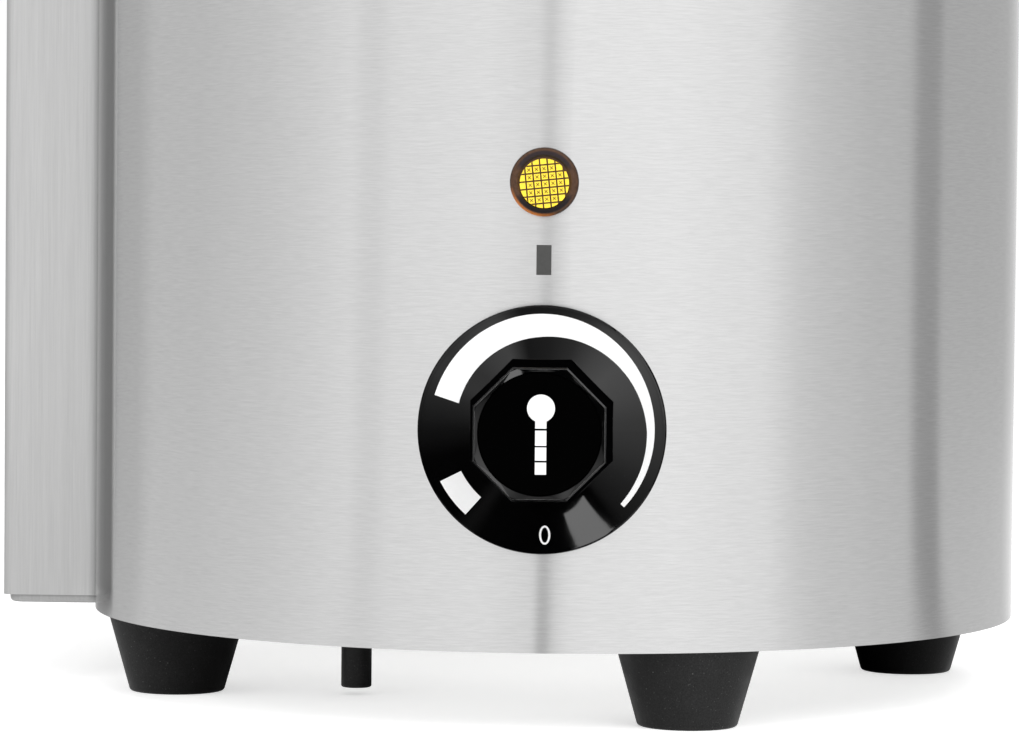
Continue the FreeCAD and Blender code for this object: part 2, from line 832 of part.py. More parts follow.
def regulator():
    """Housing with its threaded bush through the shell, mounting bracket and spade terminals."""
    collar_top = -sheet - sag(shell_inner, bush_collar_radius) - close_gap
    bracket_top = -sheet - sag(shell_inner, bracket_width / 2) - close_gap
    bracket_low = bracket_top - bracket_thickness
    body_top = collar_top - bush_collar_height
    body_low = body_top - regulator_depth
    outline = rounded_rectangle(regulator_width, regulator_height, regulator_round)
    body = prism(outline, body_low, body_top)
    collar = cylinder(bush_collar_radius, body_top, collar_top)
    bush = cylinder(bush_radius, body_top, bush_proud)
    bracket = rounded_rectangle(bracket_width, bracket_height, regulator_round)
    plate = prism(bracket, bracket_low, bracket_top)
    legs = block(-bracket_width / 2, bracket_width / 2, -regulator_height / 2 + regulator_round,
                 regulator_height / 2 - regulator_round, body_top, bracket_low)
    housing = body.fuse(collar).fuse(bush).fuse(plate).fuse(legs)
    bore_low = -(sheet + bush_collar_height + shaft_insert) - close_gap
    housing = housing.cut(cylinder(shaft_radius + running_gap, bore_low, overrun))
    for side in (-1, 1):
        hole = cylinder(screw_radius + close_gap, bracket_low - screw_length, overrun)
        housing = housing.cut(moved(hole, y=side * bracket_screw_spacing / 2))
    keep("energy_regulator", placed(housing, knob_place))
    tabs = []
    for column in range(tab_columns):
        for row in range(tab_rows):
            x = regulator_width * ((column + 0.5) / tab_columns - 0.5)
            y = regulator_height * ((row + 0.5) / tab_rows - 0.5)
            tab = block(x - tab_width / 2, x + tab_width / 2, y - tab_thickness / 2, y + tab_thickness / 2,
                        body_low - tab_length, body_low)
            tabs.append(placed(tab, knob_place))
    keep("regulator_terminals", *tabs)
    keep("regulator_shaft", placed(shaft(), knob_place))
    screws = []
    for side in (-1, 1):
        head = slotted_head(screw_head_radius, screw_head_height, 0)
        stem = cylinder(screw_radius, -screw_length, 0)
        screws.append(placed(moved(head.fuse(stem), y=side * bracket_screw_spacing / 2), knob_place))
    keep("regulator_screws", *screws)


def lamp():
    """Amber lens with a flat window, prismatic diffuser, glow lamp, holder and ring nut."""
    window = lamp_height - lamp_window_depth
    floor = window - lamp_wall
    inner = lamp_barrel_radius - lamp_wall
    lens = turned([(0, window), (lamp_window_radius, window),
                   (lamp_window_radius + lamp_window_depth, lamp_height),
                   (lamp_radius, lamp_height, lamp_edge_round), (lamp_radius, 0), (lamp_barrel_radius, 0),
                   (lamp_barrel_radius, -lamp_barrel_length), (inner, -lamp_barrel_length), (inner, floor),
                   (0, floor)])
    keep("lamp_lens", placed(lens, lamp_place))
    diffuser = cylinder(inner - close_gap, floor - lamp_diffuser_thickness, floor)
    keep("lamp_diffuser", placed(diffuser, lamp_place))
    body_top = -lamp_barrel_length
    body_low = body_top - lamp_body_length
    holder = cylinder(lamp_barrel_radius, body_low, body_top)
    spigot = cylinder(inner - close_gap, body_top, body_top + lamp_wall)
    tabs = None
    for side in (-1, 1):
        x = side * lamp_tab_spacing / 2
        tab = block(x - tab_thickness / 2, x + tab_thickness / 2, -lamp_tab_width / 2, lamp_tab_width / 2,
                    body_low - lamp_tab_length, body_low)
        tabs = tab if tabs is None else tabs.fuse(tab)
    keep("lamp_holder", placed(holder.fuse(spigot).fuse(tabs), lamp_place))
    bulb_low = body_top + lamp_wall
    bulb = turned([(0, bulb_low), (lamp_bulb_radius, bulb_low),
                   (lamp_bulb_radius, bulb_low + lamp_bulb_length, lamp_bulb_round),
                   (0, bulb_low + lamp_bulb_length)])
    keep("lamp_bulb", placed(bulb, lamp_place))
    nut_top = -sheet - sag(shell_inner, lamp_nut_radius) - close_gap
    nut = hexagon(lamp_nut_radius, nut_top - lamp_nut_height, nut_top)
    nut = nut.cut(cylinder(lamp_barrel_radius + close_gap, nut_top - lamp_nut_height - overrun, overrun))
    keep("lamp_nut", placed(nut, lamp_place))


def glass():
    """The glass cylinder and the silicone rings on its two edges."""
    wall = tube(glass_radius, glass_radius - glass_wall, glass_bottom, glass_top)
    keep("glass_cylinder", wall)
    keep("glass_foot_seal", edge_seal(gutter_floor, glass_bottom, seal_height))
    keep("glass_rim_seal", edge_seal(lid_seat, glass_top, -rim_seal_height))


def edge_seal(outside, edge, reach):
    """A U-shaped silicone ring over one edge of the glass; reach is up for the foot and down for the rim."""
    outer, inner = glass_radius + close_gap, glass_radius - glass_wall - close_gap
    end = outside + reach
    return turned([(seal_inner, outside), (seal_outer, outside), (seal_outer, end), (outer, end),
                   (outer, edge), (inner, edge), (inner, end), (seal_inner, end)])


def lid():
    """A spun lid: skirt outside the glass rim, flat seat on its seal, step and low dome with steam holes."""
    skirt = seal_outer + lid_overhang + sheet
    step = seal_inner - lid_step
    seat = lid_seat + sheet
    dome = lid_seat + lid_dome_rise
    line = [(skirt, lid_seat - lid_skirt), (skirt, seat), (step, seat), (step - lid_step, seat + lid_step),
            (lid_shoulder_radius, dome, lid_crown_round), (0, dome)]
    body = turned_sheet(line, sheet, bend)
    body = body.cut(cylinder(lid_stud_radius + close_gap, lid_seat, dome + overrun))
    for i in range(lid_vent_count):
        spot = polar(lid_shoulder_radius, 360 * (i + 0.5) / lid_vent_count)
        body = body.cut(moved(cylinder(lid_vent_radius, lid_seat, dome + overrun), spot.x, spot.y))
    keep("lid", body)
    low = dome + lid_washer_thickness
    high = low + lid_knob_height
    neck = low + lid_knob_neck_height
    keep("lid_washer", tube(lid_washer_radius, lid_stud_radius + close_gap, dome, low))
    grip = turned([(0, low), (lid_knob_neck_radius, low), (lid_knob_waist_radius, neck),
                   (lid_knob_radius, neck + lid_knob_under, lid_knob_under_round),
                   (lid_knob_radius, high, lid_knob_round), (0, high)])
    keep("lid_knob", grip.cut(cylinder(lid_stud_radius + close_gap, low - overrun, neck)))
    under = dome - sheet
    head = hexagon(lid_stud_head_radius, under - lid_stud_head_height, under)
    keep("lid_screw", head.fuse(cylinder(lid_stud_radius, under, neck - close_gap)))


def basket():
    """Sausage basket: perforated tray on legs, cross-shaped divider, and a rod with a ball to lift it by."""
    rim = tray_z + tray_rim
    floor = (rod_radius + close_gap, tray_z)
    tray = turned_sheet([floor, (tray_radius, tray_z, bend), (tray_radius, rim)], sheet)
    hole = cylinder(tray_hole_radius, tray_z - overrun, tray_z + sheet + overrun)
    for share, count in zip(tray_hole_shares, tray_hole_counts):
        for i in range(count):
            spot = polar(tray_radius * share, 360 * (i + 0.5) / count)
            tray = tray.cut(moved(hole, spot.x, spot.y))
    keep("basket_tray", tray)
    legs = []
    for i in range(leg_count):
        spot = polar(leg_circle, 360 * (i + 0.5) / leg_count)
        leg = cylinder(leg_radius, tank_floor, tray_z)
        legs.append(moved(leg, spot.x, spot.y))
    keep("basket_legs", *legs)
    low = tray_z + sheet
    high = divider_top
    reach = tray_radius - sheet - divider_edge_gap
    fin = upright_panel(reach, low, high)
    sleeve = tube(sleeve_radius, rod_radius + close_gap, low, high)
    cross = sleeve
    for i in range(4):
        turned_fin = fin.copy()
        turned_fin.rotate(Vector(0, 0, 0), Vector(0, 0, 1), 45 + 90 * i)
        cross = cross.fuse(turned_fin)
    cross = cross.cut(cylinder(rod_radius + close_gap, low - overrun, high + overrun))
    keep("basket_divider", cross)
    rod_top = high + rod_rise
    nut_low = tray_z - rod_nut_height
    keep("basket_rod", cylinder(rod_radius, nut_low - close_gap, rod_top + ball_neck_height))
    nut = hexagon(rod_nut_radius, nut_low, tray_z)
    nut = nut.cut(cylinder(rod_radius + close_gap, nut_low - overrun, tray_z + overrun))
    keep("basket_nut", nut)
    centre = rod_top + ball_radius
    ball = Part.makeSphere(ball_radius, Vector(0, 0, centre))
    neck_top = rod_top + ball_neck_height + close_gap
    ball = ball.cut(cylinder(rod_radius + close_gap, rod_top - overrun, neck_top))
    ball = ball.cut(cylinder(ball_radius, centre - ball_radius - overrun, rod_top + close_gap))
    keep("basket_handle", ball)


def upright_panel(reach, low, high):
    """One fin of the cross: an upright sheet from the sleeve out, with rounded top corner and windows."""
    half = divider_thickness / 2
    start = (rod_radius + sleeve_radius) / 2
    outline = [(start, low), (reach, low), (reach, high, divider_round), (start, high)]
    face = Part.Face(rounded_wire(outline, upright=True))
    face.translate(Vector(0, half, 0))
    panel = face.extrude(Vector(0, -divider_thickness, 0))
    inside = sleeve_radius + divider_frame
    outside = reach - divider_frame
    clear = (high - low - divider_frame * (divider_window_rows + 1)) / divider_window_rows
    for row in range(divider_window_rows):
        window_low = low + divider_frame + row * (clear + divider_frame)
        window_high = window_low + clear
        window = [(inside, window_low, divider_window_round), (outside, window_low, divider_window_round),
                  (outside, window_high, divider_window_round), (inside, window_high, divider_window_round)]
        hole = Part.Face(rounded_wire(window, upright=True))
        hole.translate(Vector(0, half + overrun, 0))
        panel = panel.cut(hole.extrude(Vector(0, -divider_thickness - 2 * overrun, 0)))
    return panel


def round_base_keep_out(low, high):
    """What the toaster box leaves free for the round base."""
    return cylinder(shell_radius + fit_gap, low - overrun, high + overrun)


def box_outline(inset, front_corner, rear_corner):
    """The toaster box in plan, drawn in by inset; the round base covers its slanting front edge."""
    left, right = box_left + inset, box_right - inset
    front, rear = box_front + inset, box_rear - inset
    return [(left, front, front_corner), (0, front), (right, box_side_start + inset),
            (right, rear, rear_corner), (left, rear, rear_corner)]


def louvres():
    """Ventilation slots in the back wall."""
    slots = []
    outline = rounded_rectangle(louvre_length, louvre_width, louvre_width / 2)
    for i in range(louvre_count):
        x = (box_left + box_right) / 2
        z = box_top - louvre_drop + (i - (louvre_count - 1) / 2) * louvre_pitch
        slot = prism(outline, -sheet - overrun, overrun)
        slots.append(placed(slot, Placement(Vector(x, box_rear, z), facing_back)))
    return slots


def box_screw_places():
    """Small screws low on the left, right and back walls that hold the tray."""
    z = wrapper_bottom + tray_flange / 2
    right_wall = Rotation(Vector(0, 1, 0), Vector(0, 0, 1), Vector(1, 0, 0), "ZXY")
    places = []
    for y in (box_front + box_screw_inset, box_rear - box_screw_inset):
        places.append(Placement(Vector(box_left, y, z), facing_left))
    places.append(Placement(Vector(box_right, box_rear - box_screw_inset, z), right_wall))
    for x in (box_left + box_screw_inset, box_right - box_screw_inset):
        places.append(Placement(Vector(x, box_rear, z), facing_back))
    return places


def toaster_box():
    """Wrapper of folded sheet, tray under it and top plate over it, all cut out for the round base."""
    keep_out = round_base_keep_out(rim_z, box_top)
    line = [(box_right, box_side_start), (box_right, box_rear, box_rear_corner - sheet),
            (box_left, box_rear, box_rear_corner - sheet), (box_left, box_front, box_corner - sheet),
            (overrun - shell_radius, box_front)]
    wrapper = prism(strip_points(line, sheet, bend), wrapper_bottom, box_top - sheet).cut(keep_out)
    opening_x = switch_width - 2 * switch_body_margin
    opening_y = switch_height - 2 * switch_body_margin
    opening = rounded_rectangle(opening_x, opening_y, switch_body_round)
    wrapper = wrapper.cut(placed(prism(opening, -sheet - overrun, overrun), switch_place))
    gland_hole = cylinder(gland_thread_radius + close_gap, -sheet - overrun, overrun)
    wrapper = wrapper.cut(placed(gland_hole, gland_place))
    for slot in louvres():
        wrapper = wrapper.cut(slot)
    pan = prism(box_outline(tray_step, tray_corner, box_rear_corner - tray_step), rim_z,
                wrapper_bottom + tray_flange)
    lowest = [e for e in pan.Edges if e.BoundBox.ZMax < rim_z + close_gap]
    pan = pan.makeFillet(tray_edge_round, lowest)
    inner = prism(box_outline(tray_step + sheet, tray_corner - sheet, box_rear_corner - tray_step - sheet),
                  rim_z + sheet, wrapper_bottom + tray_flange + overrun)
    pan = pan.cut(inner).cut(keep_out)
    screws = []
    for place in box_screw_places():
        hole = placed(cylinder(box_screw_radius + close_gap, -box_screw_length, overrun), place)
        wrapper = wrapper.cut(hole)
        pan = pan.cut(hole)
        head = slotted_head(box_screw_head_radius, box_screw_head_height, 0)
        stem = cylinder(box_screw_radius, -box_screw_length + sheet, 0)
        screws.append(placed(head.fuse(stem), place))
    for spot in toaster_feet():
        hole = cylinder(foot_screw_radius + close_gap, rim_z - overrun, rim_z + sheet + overrun)
        pan = pan.cut(moved(hole, spot.x, spot.y))
    keep("toaster_wrapper", wrapper)
    keep("toaster_tray", pan)
    keep("toaster_screws", *screws)
    top = prism(box_outline(0, box_corner, box_rear_corner), box_top - sheet, box_top)
    highest = [e for e in top.Edges if e.BoundBox.ZMin > box_top - close_gap]
    top = top.makeFillet(top_edge_round, highest)
    flange = prism(box_outline(tray_step, tray_corner, box_rear_corner - tray_step),
                   box_top - sheet - top_flange, box_top - sheet)
    inner = prism(box_outline(tray_step + sheet, tray_corner - sheet, box_rear_corner - tray_step - sheet),
                  box_top - sheet - top_flange - overrun, box_top - sheet)
    top = top.fuse(flange.cut(inner)).cut(keep_out)
    for x, y in spike_spots():
        hole = cylinder(spike_shank_radius + collar_spigot_wall + close_gap, box_top - sheet - overrun,
                        box_top + overrun)
        top = top.cut(moved(hole, x, y))
    keep("toaster_top", top)


def spike_spots():
    """Places of the spikes in plan, front row first."""
    spots = []
    for row in (-1, 1):
        for side in (-1, 1):
            x = spike_centre_x + side * spike_spacing_x / 2
            y = spike_centre_y + row * spike_spacing_y / 2
            spots.append((x, y))
    return spots


def spikes():
    """Tapered aluminium spikes on insulating collars, each with its nut and heating cartridge."""
    foot_z = collar_top
    point_z = foot_z + spike_height * (1 - spike_point_share)
    top_z = foot_z + spike_height
    shank_low = foot_z - collar_height - sheet - spike_shank_length
    collars, nuts, cartridges = [], [], []
    bore_top = foot_z + spike_height * spike_bore_share
    for number, (x, y) in enumerate(spike_spots(), 1):
        body = turned([(0, shank_low), (spike_shank_radius, shank_low), (spike_shank_radius, foot_z),
                       (spike_base_radius, foot_z, spike_base_round), (spike_tip_radius, point_z),
                       (spike_nose_radius, top_z, spike_nose_round), (0, top_z)])
        body = body.cut(cylinder(spike_bore_radius, shank_low - overrun, bore_top))
        keep("spike_%d" % number, moved(body, x, y))
        spigot = spike_shank_radius + collar_spigot_wall
        inner = spike_shank_radius + close_gap
        spigot_low = box_top - sheet - collar_spigot_length
        collar = turned([(inner, spigot_low), (spigot, spigot_low), (spigot, box_top),
                         (collar_radius, box_top), (collar_radius, foot_z, collar_round), (inner, foot_z)])
        collars.append(moved(collar, x, y))
        nut = hexagon(spike_nut_radius, spigot_low - spike_nut_height, spigot_low)
        nut = nut.cut(cylinder(inner, spigot_low - spike_nut_height - overrun, spigot_low + overrun))
        nuts.append(moved(nut, x, y))
        rod = cylinder(cartridge_radius, shank_low, bore_top - fit_gap)
        for side in (-1, 1):
            lead = cylinder(cartridge_lead_radius, shank_low - cartridge_lead_length, shank_low)
            rod = rod.fuse(moved(lead, side * cartridge_lead_spacing / 2))
        cartridges.append(moved(rod, x, y))
    keep("spike_collars", *collars)
    keep("spike_nuts", *nuts)
    keep("spike_cartridges", *cartridges)


def switch():
    """Rocker switch: frame and body in the wall, and a rocker that tips about its middle."""
    front = rounded_rectangle(switch_width, switch_height, switch_frame_round)
    frame = prism(front, 0, switch_frame_thickness)
    inside_x = switch_width - 2 * switch_wall
    inside_y = switch_height - 2 * switch_wall
    body_x = switch_width - 2 * switch_body_margin - 2 * close_gap
    body_y = switch_height - 2 * switch_body_margin - 2 * close_gap
    body = prism(rounded_rectangle(body_x, body_y, switch_body_round), -switch_body_depth, 0)
    well_low = rocker_axis() - rocker_reach() - rocker_gap
    well = block(-inside_x / 2, inside_x / 2, -inside_y / 2, inside_y / 2, well_low,
                 switch_frame_thickness + overrun)
    whole = frame.fuse(body).cut(well)
    for row in (-1, 1):
        y = row * switch_tab_spacing / 2
        tab = block(-tab_width / 2, tab_width / 2, y - tab_thickness / 2, y + tab_thickness / 2,
                    -switch_body_depth - tab_length, -switch_body_depth)
        whole = whole.fuse(tab)
    keep("switch_body", placed(whole, switch_place))
    half_x = inside_x / 2 - rocker_gap
    tip = rocker_length() / 2
    low = rocker_axis() - rocker_sink
    middle = rocker_axis() + rocker_proud
    crown = middle - rocker_hollow
    outline = [Vector(0, -tip, low), Vector(0, tip, low), Vector(0, tip, middle), Vector(0, 0, crown),
               Vector(0, -tip, middle), Vector(0, -tip, low)]
    side = Part.Wire([Part.LineSegment(outline[0], outline[1]).toShape(),
                      Part.LineSegment(outline[1], outline[2]).toShape(),
                      Part.Arc(outline[2], outline[3], outline[4]).toShape(),
                      Part.LineSegment(outline[4], outline[0]).toShape()])
    paddle = Part.Face(side)
    paddle.translate(Vector(-half_x, 0, 0))
    paddle = paddle.extrude(Vector(2 * half_x, 0, 0))
    paddle.rotate(Vector(0, 0, rocker_axis()), Vector(1, 0, 0), rocker_tilt)
    keep("switch_rocker", placed(paddle, switch_place))


def rocker_axis():
    """Height of the rocker's pivot over the wall."""
    return switch_frame_thickness


def rocker_length():
    """The rocker's length, short enough that its tips swing past the ends of the well."""
    well = switch_height - 2 * switch_wall
    swing = math.sin(math.radians(rocker_tilt)) * (rocker_proud + rocker_sink)
    return well - 2 * rocker_gap - swing


def rocker_reach():
    """How deep the rocker's tip comes at full tilt."""
    half = rocker_length() / 2
    return rocker_sink + half * math.sin(math.radians(rocker_tilt))


def gland():
    """Cable gland: hexagon and domed nut outside, threaded stem through the wall and lock nut inside."""
    stem_low = -sheet - gland_thread_length
    body = hexagon(gland_hex_radius, 0, gland_hex_height)
    dome = turned([(0, gland_hex_height), (gland_dome_radius, gland_hex_height),
                   (gland_dome_radius, gland_hex_height + gland_dome_height, gland_dome_round),
                   (0, gland_hex_height + gland_dome_height)])
    stem = cylinder(gland_thread_radius, stem_low, 0)
    bore = cylinder(gland_bore_radius, stem_low - overrun, gland_hex_height + gland_dome_height + overrun)
    keep("cord_gland", placed(body.fuse(dome).fuse(stem).cut(bore), gland_place))
    nut = hexagon(gland_hex_radius, -sheet - gland_nut_height, -sheet)
    nut = nut.cut(cylinder(gland_thread_radius + close_gap, -sheet - gland_nut_height - overrun, overrun))
    keep("gland_nut", placed(nut, gland_place))


def terminal_block():
    """Screw terminal strip on the floor of the toaster box, where the mains leads end."""
    low = rim_z + sheet
    x = (box_left + box_right) / 2
    y = shell_radius + (box_rear - shell_radius) * block_front_share
    body = block(x - block_length / 2, x + block_length / 2, y - block_width / 2, y + block_width / 2, low,
                 low + block_height)
    for i in range(block_pole_count):
        px = x + block_length * ((i + 0.5) / block_pole_count - 0.5)
        for side in (-1, 1):
            hole = cylinder(block_screw_radius, low + block_height - block_screw_depth,
                            low + block_height + overrun)
            body = body.cut(moved(hole, px, y + side * block_screw_spacing / 2))
    keep("terminal_block", body)


def grommet_place():
    """The cable passage in the back of the round shell."""
    return Placement(Vector(0, shell_radius, rim_z + grommet_rise), facing_back)


def grommet():
    """Rubber ring in the back of the round shell, where the leads pass into the toaster box."""
    lip = tube(grommet_radius + grommet_lip, grommet_bore_radius, fit_gap, fit_gap + grommet_lip_height)
    inner_top = -sheet - sag(shell_inner, grommet_radius + grommet_lip) - close_gap
    inner_low = inner_top - grommet_lip_height
    inner_lip = tube(grommet_radius + grommet_lip, grommet_bore_radius, inner_low, inner_top)
    ring = tube(grommet_radius, grommet_bore_radius, inner_low, fit_gap + grommet_lip_height)
    keep("wiring_grommet", placed(ring.fuse(lip).fuse(inner_lip), grommet_place()))


def toaster_thermostat():
    """Snap thermostat screwed under the hot top plate, between the spikes."""
    top = box_top - sheet
    body = cylinder(snap_flange_radius, top - snap_flange_height, top)
    body = body.fuse(cylinder(snap_radius, top - snap_height, top))
    for side in (-1, 1):
        x = side * snap_tab_spacing / 2
        tab = block(x - tab_thickness / 2, x + tab_thickness / 2, -tab_width / 2, tab_width / 2,
                    top - snap_height - tab_length, top - snap_height)
        body = body.fuse(tab)
    keep("toaster_thermostat", moved(body, spike_centre_x, spike_centre_y))


def main():
    """Makes every node, moves the origin under the machine's box and writes one file for each node."""
    shell()
    base_plate()
    feet()
    deck()
    tank()
    heater()
    drain()
    cutout()
    knob()
    regulator()
    lamp()
    glass()
    lid()
    basket()
    toaster_box()
    spikes()
    switch()
    gland()
    terminal_block()
    grommet()
    toaster_thermostat()
    everything = Part.makeCompound([shape for shapes in nodes.values() for shape in shapes])
    box = everything.optimalBoundingBox(False)
    x, y = -box.Center.x, -box.Center.y
    os.makedirs("parts", exist_ok=True)
    for name, shapes in nodes.items():
        solids = [solid for shape in shapes for solid in moved(shape, x, y).Solids]
        if len(solids) != len(shapes) or not all(solid.isValid() and solid.Volume > 0 for solid in solids):
            print(name, "doesn't come out as", len(shapes), "sound solids")
        whole = Part.makeCompound(solids) if len(solids) > 1 else solids[0]
        whole.exportStep("parts/%s.step" % name)
    print(len(nodes), "nodes; the round base stands at", x, y, "and z starts at", box.ZMin)


main()
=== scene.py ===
"""Looks of the hot dog steamer: finishes, printed dial, lamp prisms, studio and camera.

Lengths are in millimetres and are turned into metres where meshes and the knob's lights are made. The
studio's floor, rooms and softboxes are laid out in metres. A noise's scale is in cells per millimetre.
"""
import bmesh
import bpy
import math
from mathutils import Matrix, Vector


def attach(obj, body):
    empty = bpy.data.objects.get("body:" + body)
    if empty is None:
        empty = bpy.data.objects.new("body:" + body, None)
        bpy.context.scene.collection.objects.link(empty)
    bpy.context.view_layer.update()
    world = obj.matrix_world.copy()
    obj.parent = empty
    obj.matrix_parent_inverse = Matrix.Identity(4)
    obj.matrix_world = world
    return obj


MM = 0.001

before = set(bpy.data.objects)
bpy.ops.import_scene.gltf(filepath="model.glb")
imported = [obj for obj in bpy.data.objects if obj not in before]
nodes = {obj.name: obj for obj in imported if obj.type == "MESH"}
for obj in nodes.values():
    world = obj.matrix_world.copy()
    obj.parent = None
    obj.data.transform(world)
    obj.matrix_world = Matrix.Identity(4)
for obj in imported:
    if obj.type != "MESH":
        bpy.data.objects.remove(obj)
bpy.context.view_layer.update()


def span(name):
    """Lowest and highest corner of a CAD node, in millimetres."""
    corners = [nodes[name].matrix_world @ Vector(c) / MM for c in nodes[name].bound_box]
    return [min(c[i] for c in corners) for i in range(3)], [max(c[i] for c in corners) for i in range(3)]


def centre(name):
    low, high = span(name)
    return [(a + b) / 2 for a, b in zip(low, high)]


# Places that the looks and the printed pieces follow, read from the solids
AXIS_X, AXIS_Y = centre("base_shell")[:2]
SHELL_RADIUS = span("base_shell")[1][0] - AXIS_X
WALL_FRONT = AXIS_Y - SHELL_RADIUS
KNOB_Z = centre("knob_cap")[2]
KNOB_FRONT = span("control_knob")[0][1]
DISC_OUT = WALL_FRONT - span("knob_cap")[0][1]
LAMP_Z = centre("lamp_lens")[2]
BOX_FOOT = span("toaster_wrapper")[0][2]


# Procedural finishes

# Nearly all values of a noise lie between these
NOISE_RANGE = (0.3, 0.7)
# Cosine between the true and the rounded face at an edge with a painted highlight and past it
EDGE_COSINES = (0.8, 0.97)
# Share of open sky in a corner and away from it, and what a corner keeps of its colour under the painted
# shade
SKY_SHARES, SHADED_CORNER_KEPT = (0.4, 0.96), 0.3
# Turn of the highlights for brushing that runs level and for upright brushing
BRUSHED_LEVEL, BRUSHED_UPRIGHT = 0.25, 0.0


class Finish:
    """A material with one Principled shader, to which grain, colour and bump are added node by node."""

    def __init__(self, name, colour, **settings):
        self.made = bpy.data.materials.new(name)
        self.made.use_nodes = True
        self.tree = self.made.node_tree
        self.shader = self.tree.nodes["Principled BSDF"]
        self.colour = colour
        self.shader.inputs["Base Color"].default_value = (*colour, 1)
        for key, value in settings.items():
            self.shader.inputs[key.replace("_", " ").title().replace("Ior", "IOR")].default_value = value

    def node(self, kind, **settings):
        made = self.tree.nodes.new("ShaderNode" + kind)
        for key, value in settings.items():
            setattr(made, key, value)
        return made

    def link(self, source, target):
        self.tree.links.new(source, target)

    def fill(self, sockets, values):
        """Links or sets one socket after the other from sockets or numbers."""
        for socket, value in zip(sockets, values):
            if isinstance(value, (int, float)):
                socket.default_value = value
            else:
                self.link(value, socket)

    def calc(self, operation, *values):
        """The result of one sum on sockets or numbers."""
        made = self.node("Math", operation=operation)
        self.fill(made.inputs, values)
        return made.outputs[0]

    def product(self, first, *others):
        for value in others:
            first = self.calc("MULTIPLY", first, value)
        return first

    def distance(self, a, b):
        """Length of the way that goes a along one axis and b along another."""
        return self.calc("SQRT", self.calc("ADD", self.product(a, a), self.product(b, b)))

    def blend(self, a, b, share):
        """Share of the first value and the rest of the second."""
        return self.calc("ADD", self.product(a, share), self.product(b, 1 - share))

    def dot(self, a, b):
        made = self.node("VectorMath", operation="DOT_PRODUCT")
        self.fill(made.inputs, (a, b))
        return made.outputs["Value"]

    def place(self):
        """The object's own X, Y and Z in millimetres."""
        split = self.node("SeparateXYZ")
        self.link(self.node("TexCoord").outputs["Object"], split.inputs[0])
        return [self.product(out, 1 / MM) for out in split.outputs]

    def facing(self):
        """X, Y and Z of the way that the surface faces."""
        split = self.node("SeparateXYZ")
        self.link(self.node("NewGeometry").outputs["Normal"], split.inputs[0])
        return split.outputs

    def joined(self, *values):
        made = self.node("CombineXYZ")
        self.fill(made.inputs, values)
        return made.outputs[0]

    def scaled(self, place, scale):
        """Three values as one vector, each times its own scale, or all times one."""
        scales = scale if isinstance(scale, tuple) else (scale,) * 3
        return self.joined(*[self.product(value, by) for value, by in zip(place, scales)])

    def noise(self, vector, detail=3.0, roughness=0.55):
        made = self.node("TexNoise")
        made.inputs["Scale"].default_value = 1.0
        made.inputs["Detail"].default_value = detail
        made.inputs["Roughness"].default_value = roughness
        self.link(vector, made.inputs["Vector"])
        return made.outputs["Fac"]

    def spread(self, value, low, high, out_low, out_high):
        """Turns the range from low to high into that from out_low to out_high, and stops at its ends."""
        made = self.node("MapRange")
        self.fill(made.inputs[:5], (value, low, high, out_low, out_high))
        return made.outputs[0]

    def rise(self, value, edges, top=1.0):
        """From 0 at the first edge to top at the second."""
        return self.spread(value, *edges, 0.0, top)

    def fall(self, value, edges, floor=0.0):
        """From 1 at the first edge to floor at the second."""
        return self.spread(value, *edges, 1.0, floor)

    def mixed(self, factor):
        """A colour mix that is linked to the finish's colour."""
        mix = self.node("Mix", data_type="RGBA")
        self.link(factor, mix.inputs["Factor"])
        self.link(mix.outputs["Result"], self.shader.inputs["Base Color"])
        return mix

    def shades(self, value, dark, light, edges=NOISE_RANGE):
        """Colours the surface from dark to light, both shares of the finish's own colour."""
        mix = self.mixed(self.rise(value, edges))
        mix.inputs["A"].default_value = (*[min(1, c * dark) for c in self.colour], 1)
        mix.inputs["B"].default_value = (*[min(1, c * light) for c in self.colour], 1)
        return mix.outputs["Result"]

    def specks(self, under, value, colour):
        """Puts flecks of another colour over what the surface already shows."""
        mix = self.mixed(value)
        self.link(under, mix.inputs["A"])
        mix.inputs["B"].default_value = (*colour, 1)
        return mix.outputs["Result"]

    def dim(self, under, kept):
        """Leaves the given share of what the surface already shows."""
        mix = self.mixed(kept)
        mix.inputs["A"].default_value = (0, 0, 0, 1)
        self.link(under, mix.inputs["B"])

    def rounded(self, radius, samples):
        """The way that the surface would face if its edges had a radius in millimetres."""
        made = self.node("Bevel", samples=samples)
        made.inputs["Radius"].default_value = radius * MM
        return made.outputs["Normal"]

    def painted_edge_highlight(self, under, radius, colour, place):
        """Paints a highlight on the edges, as wide as the radius in millimetres, where place is 1."""
        alike = self.dot(self.rounded(radius, 12), self.node("NewGeometry").outputs["Normal"])
        self.specks(under, self.product(self.fall(alike, EDGE_COSINES), place), colour)

    def painted_corner_shade(self, under, reach):
        """Paints shade on the surface where other sheets stand close, within reach millimetres."""
        open_sky = self.node("AmbientOcclusion", samples=8)
        open_sky.inputs["Distance"].default_value = reach * MM
        self.dim(under, self.spread(open_sky.outputs["AO"], *SKY_SHARES, SHADED_CORNER_KEPT, 1.0))

    def gloss(self, value, low, high):
        """Lets the roughness follow a noise from low to high."""
        self.link(self.spread(value, *NOISE_RANGE, low, high), self.shader.inputs["Roughness"])

    def bump(self, value, depth):
        """Relief whose full height is depth millimetres."""
        made = self.node("Bump")
        made.inputs["Strength"].default_value = 1.0
        made.inputs["Distance"].default_value = depth * MM
        self.link(value, made.inputs["Height"])
        self.link(made.outputs["Normal"], self.shader.inputs["Normal"])
        return made

    def stretch(self, turn):
        """Draws highlights out across the brushing."""
        tangent = self.node("Tangent", direction_type="RADIAL", axis="Z")
        self.link(tangent.outputs[0], self.shader.inputs["Tangent"])
        self.shader.inputs["Anisotropic Rotation"].default_value = turn


# Painted shade and darker reflection on the round wall beside the box: where it begins and pales towards
# the back, and ends to the right, all from the wall's axis, and where it ends below, from the box's foot
PAINTED_SHADE_FRONT, PAINTED_SHADE_PALING, PAINTED_SHADE_SIDE, PAINTED_SHADE_FOOT = (-52.1, -49.3), (-42, -29), (-100, -99), (-2, 5)
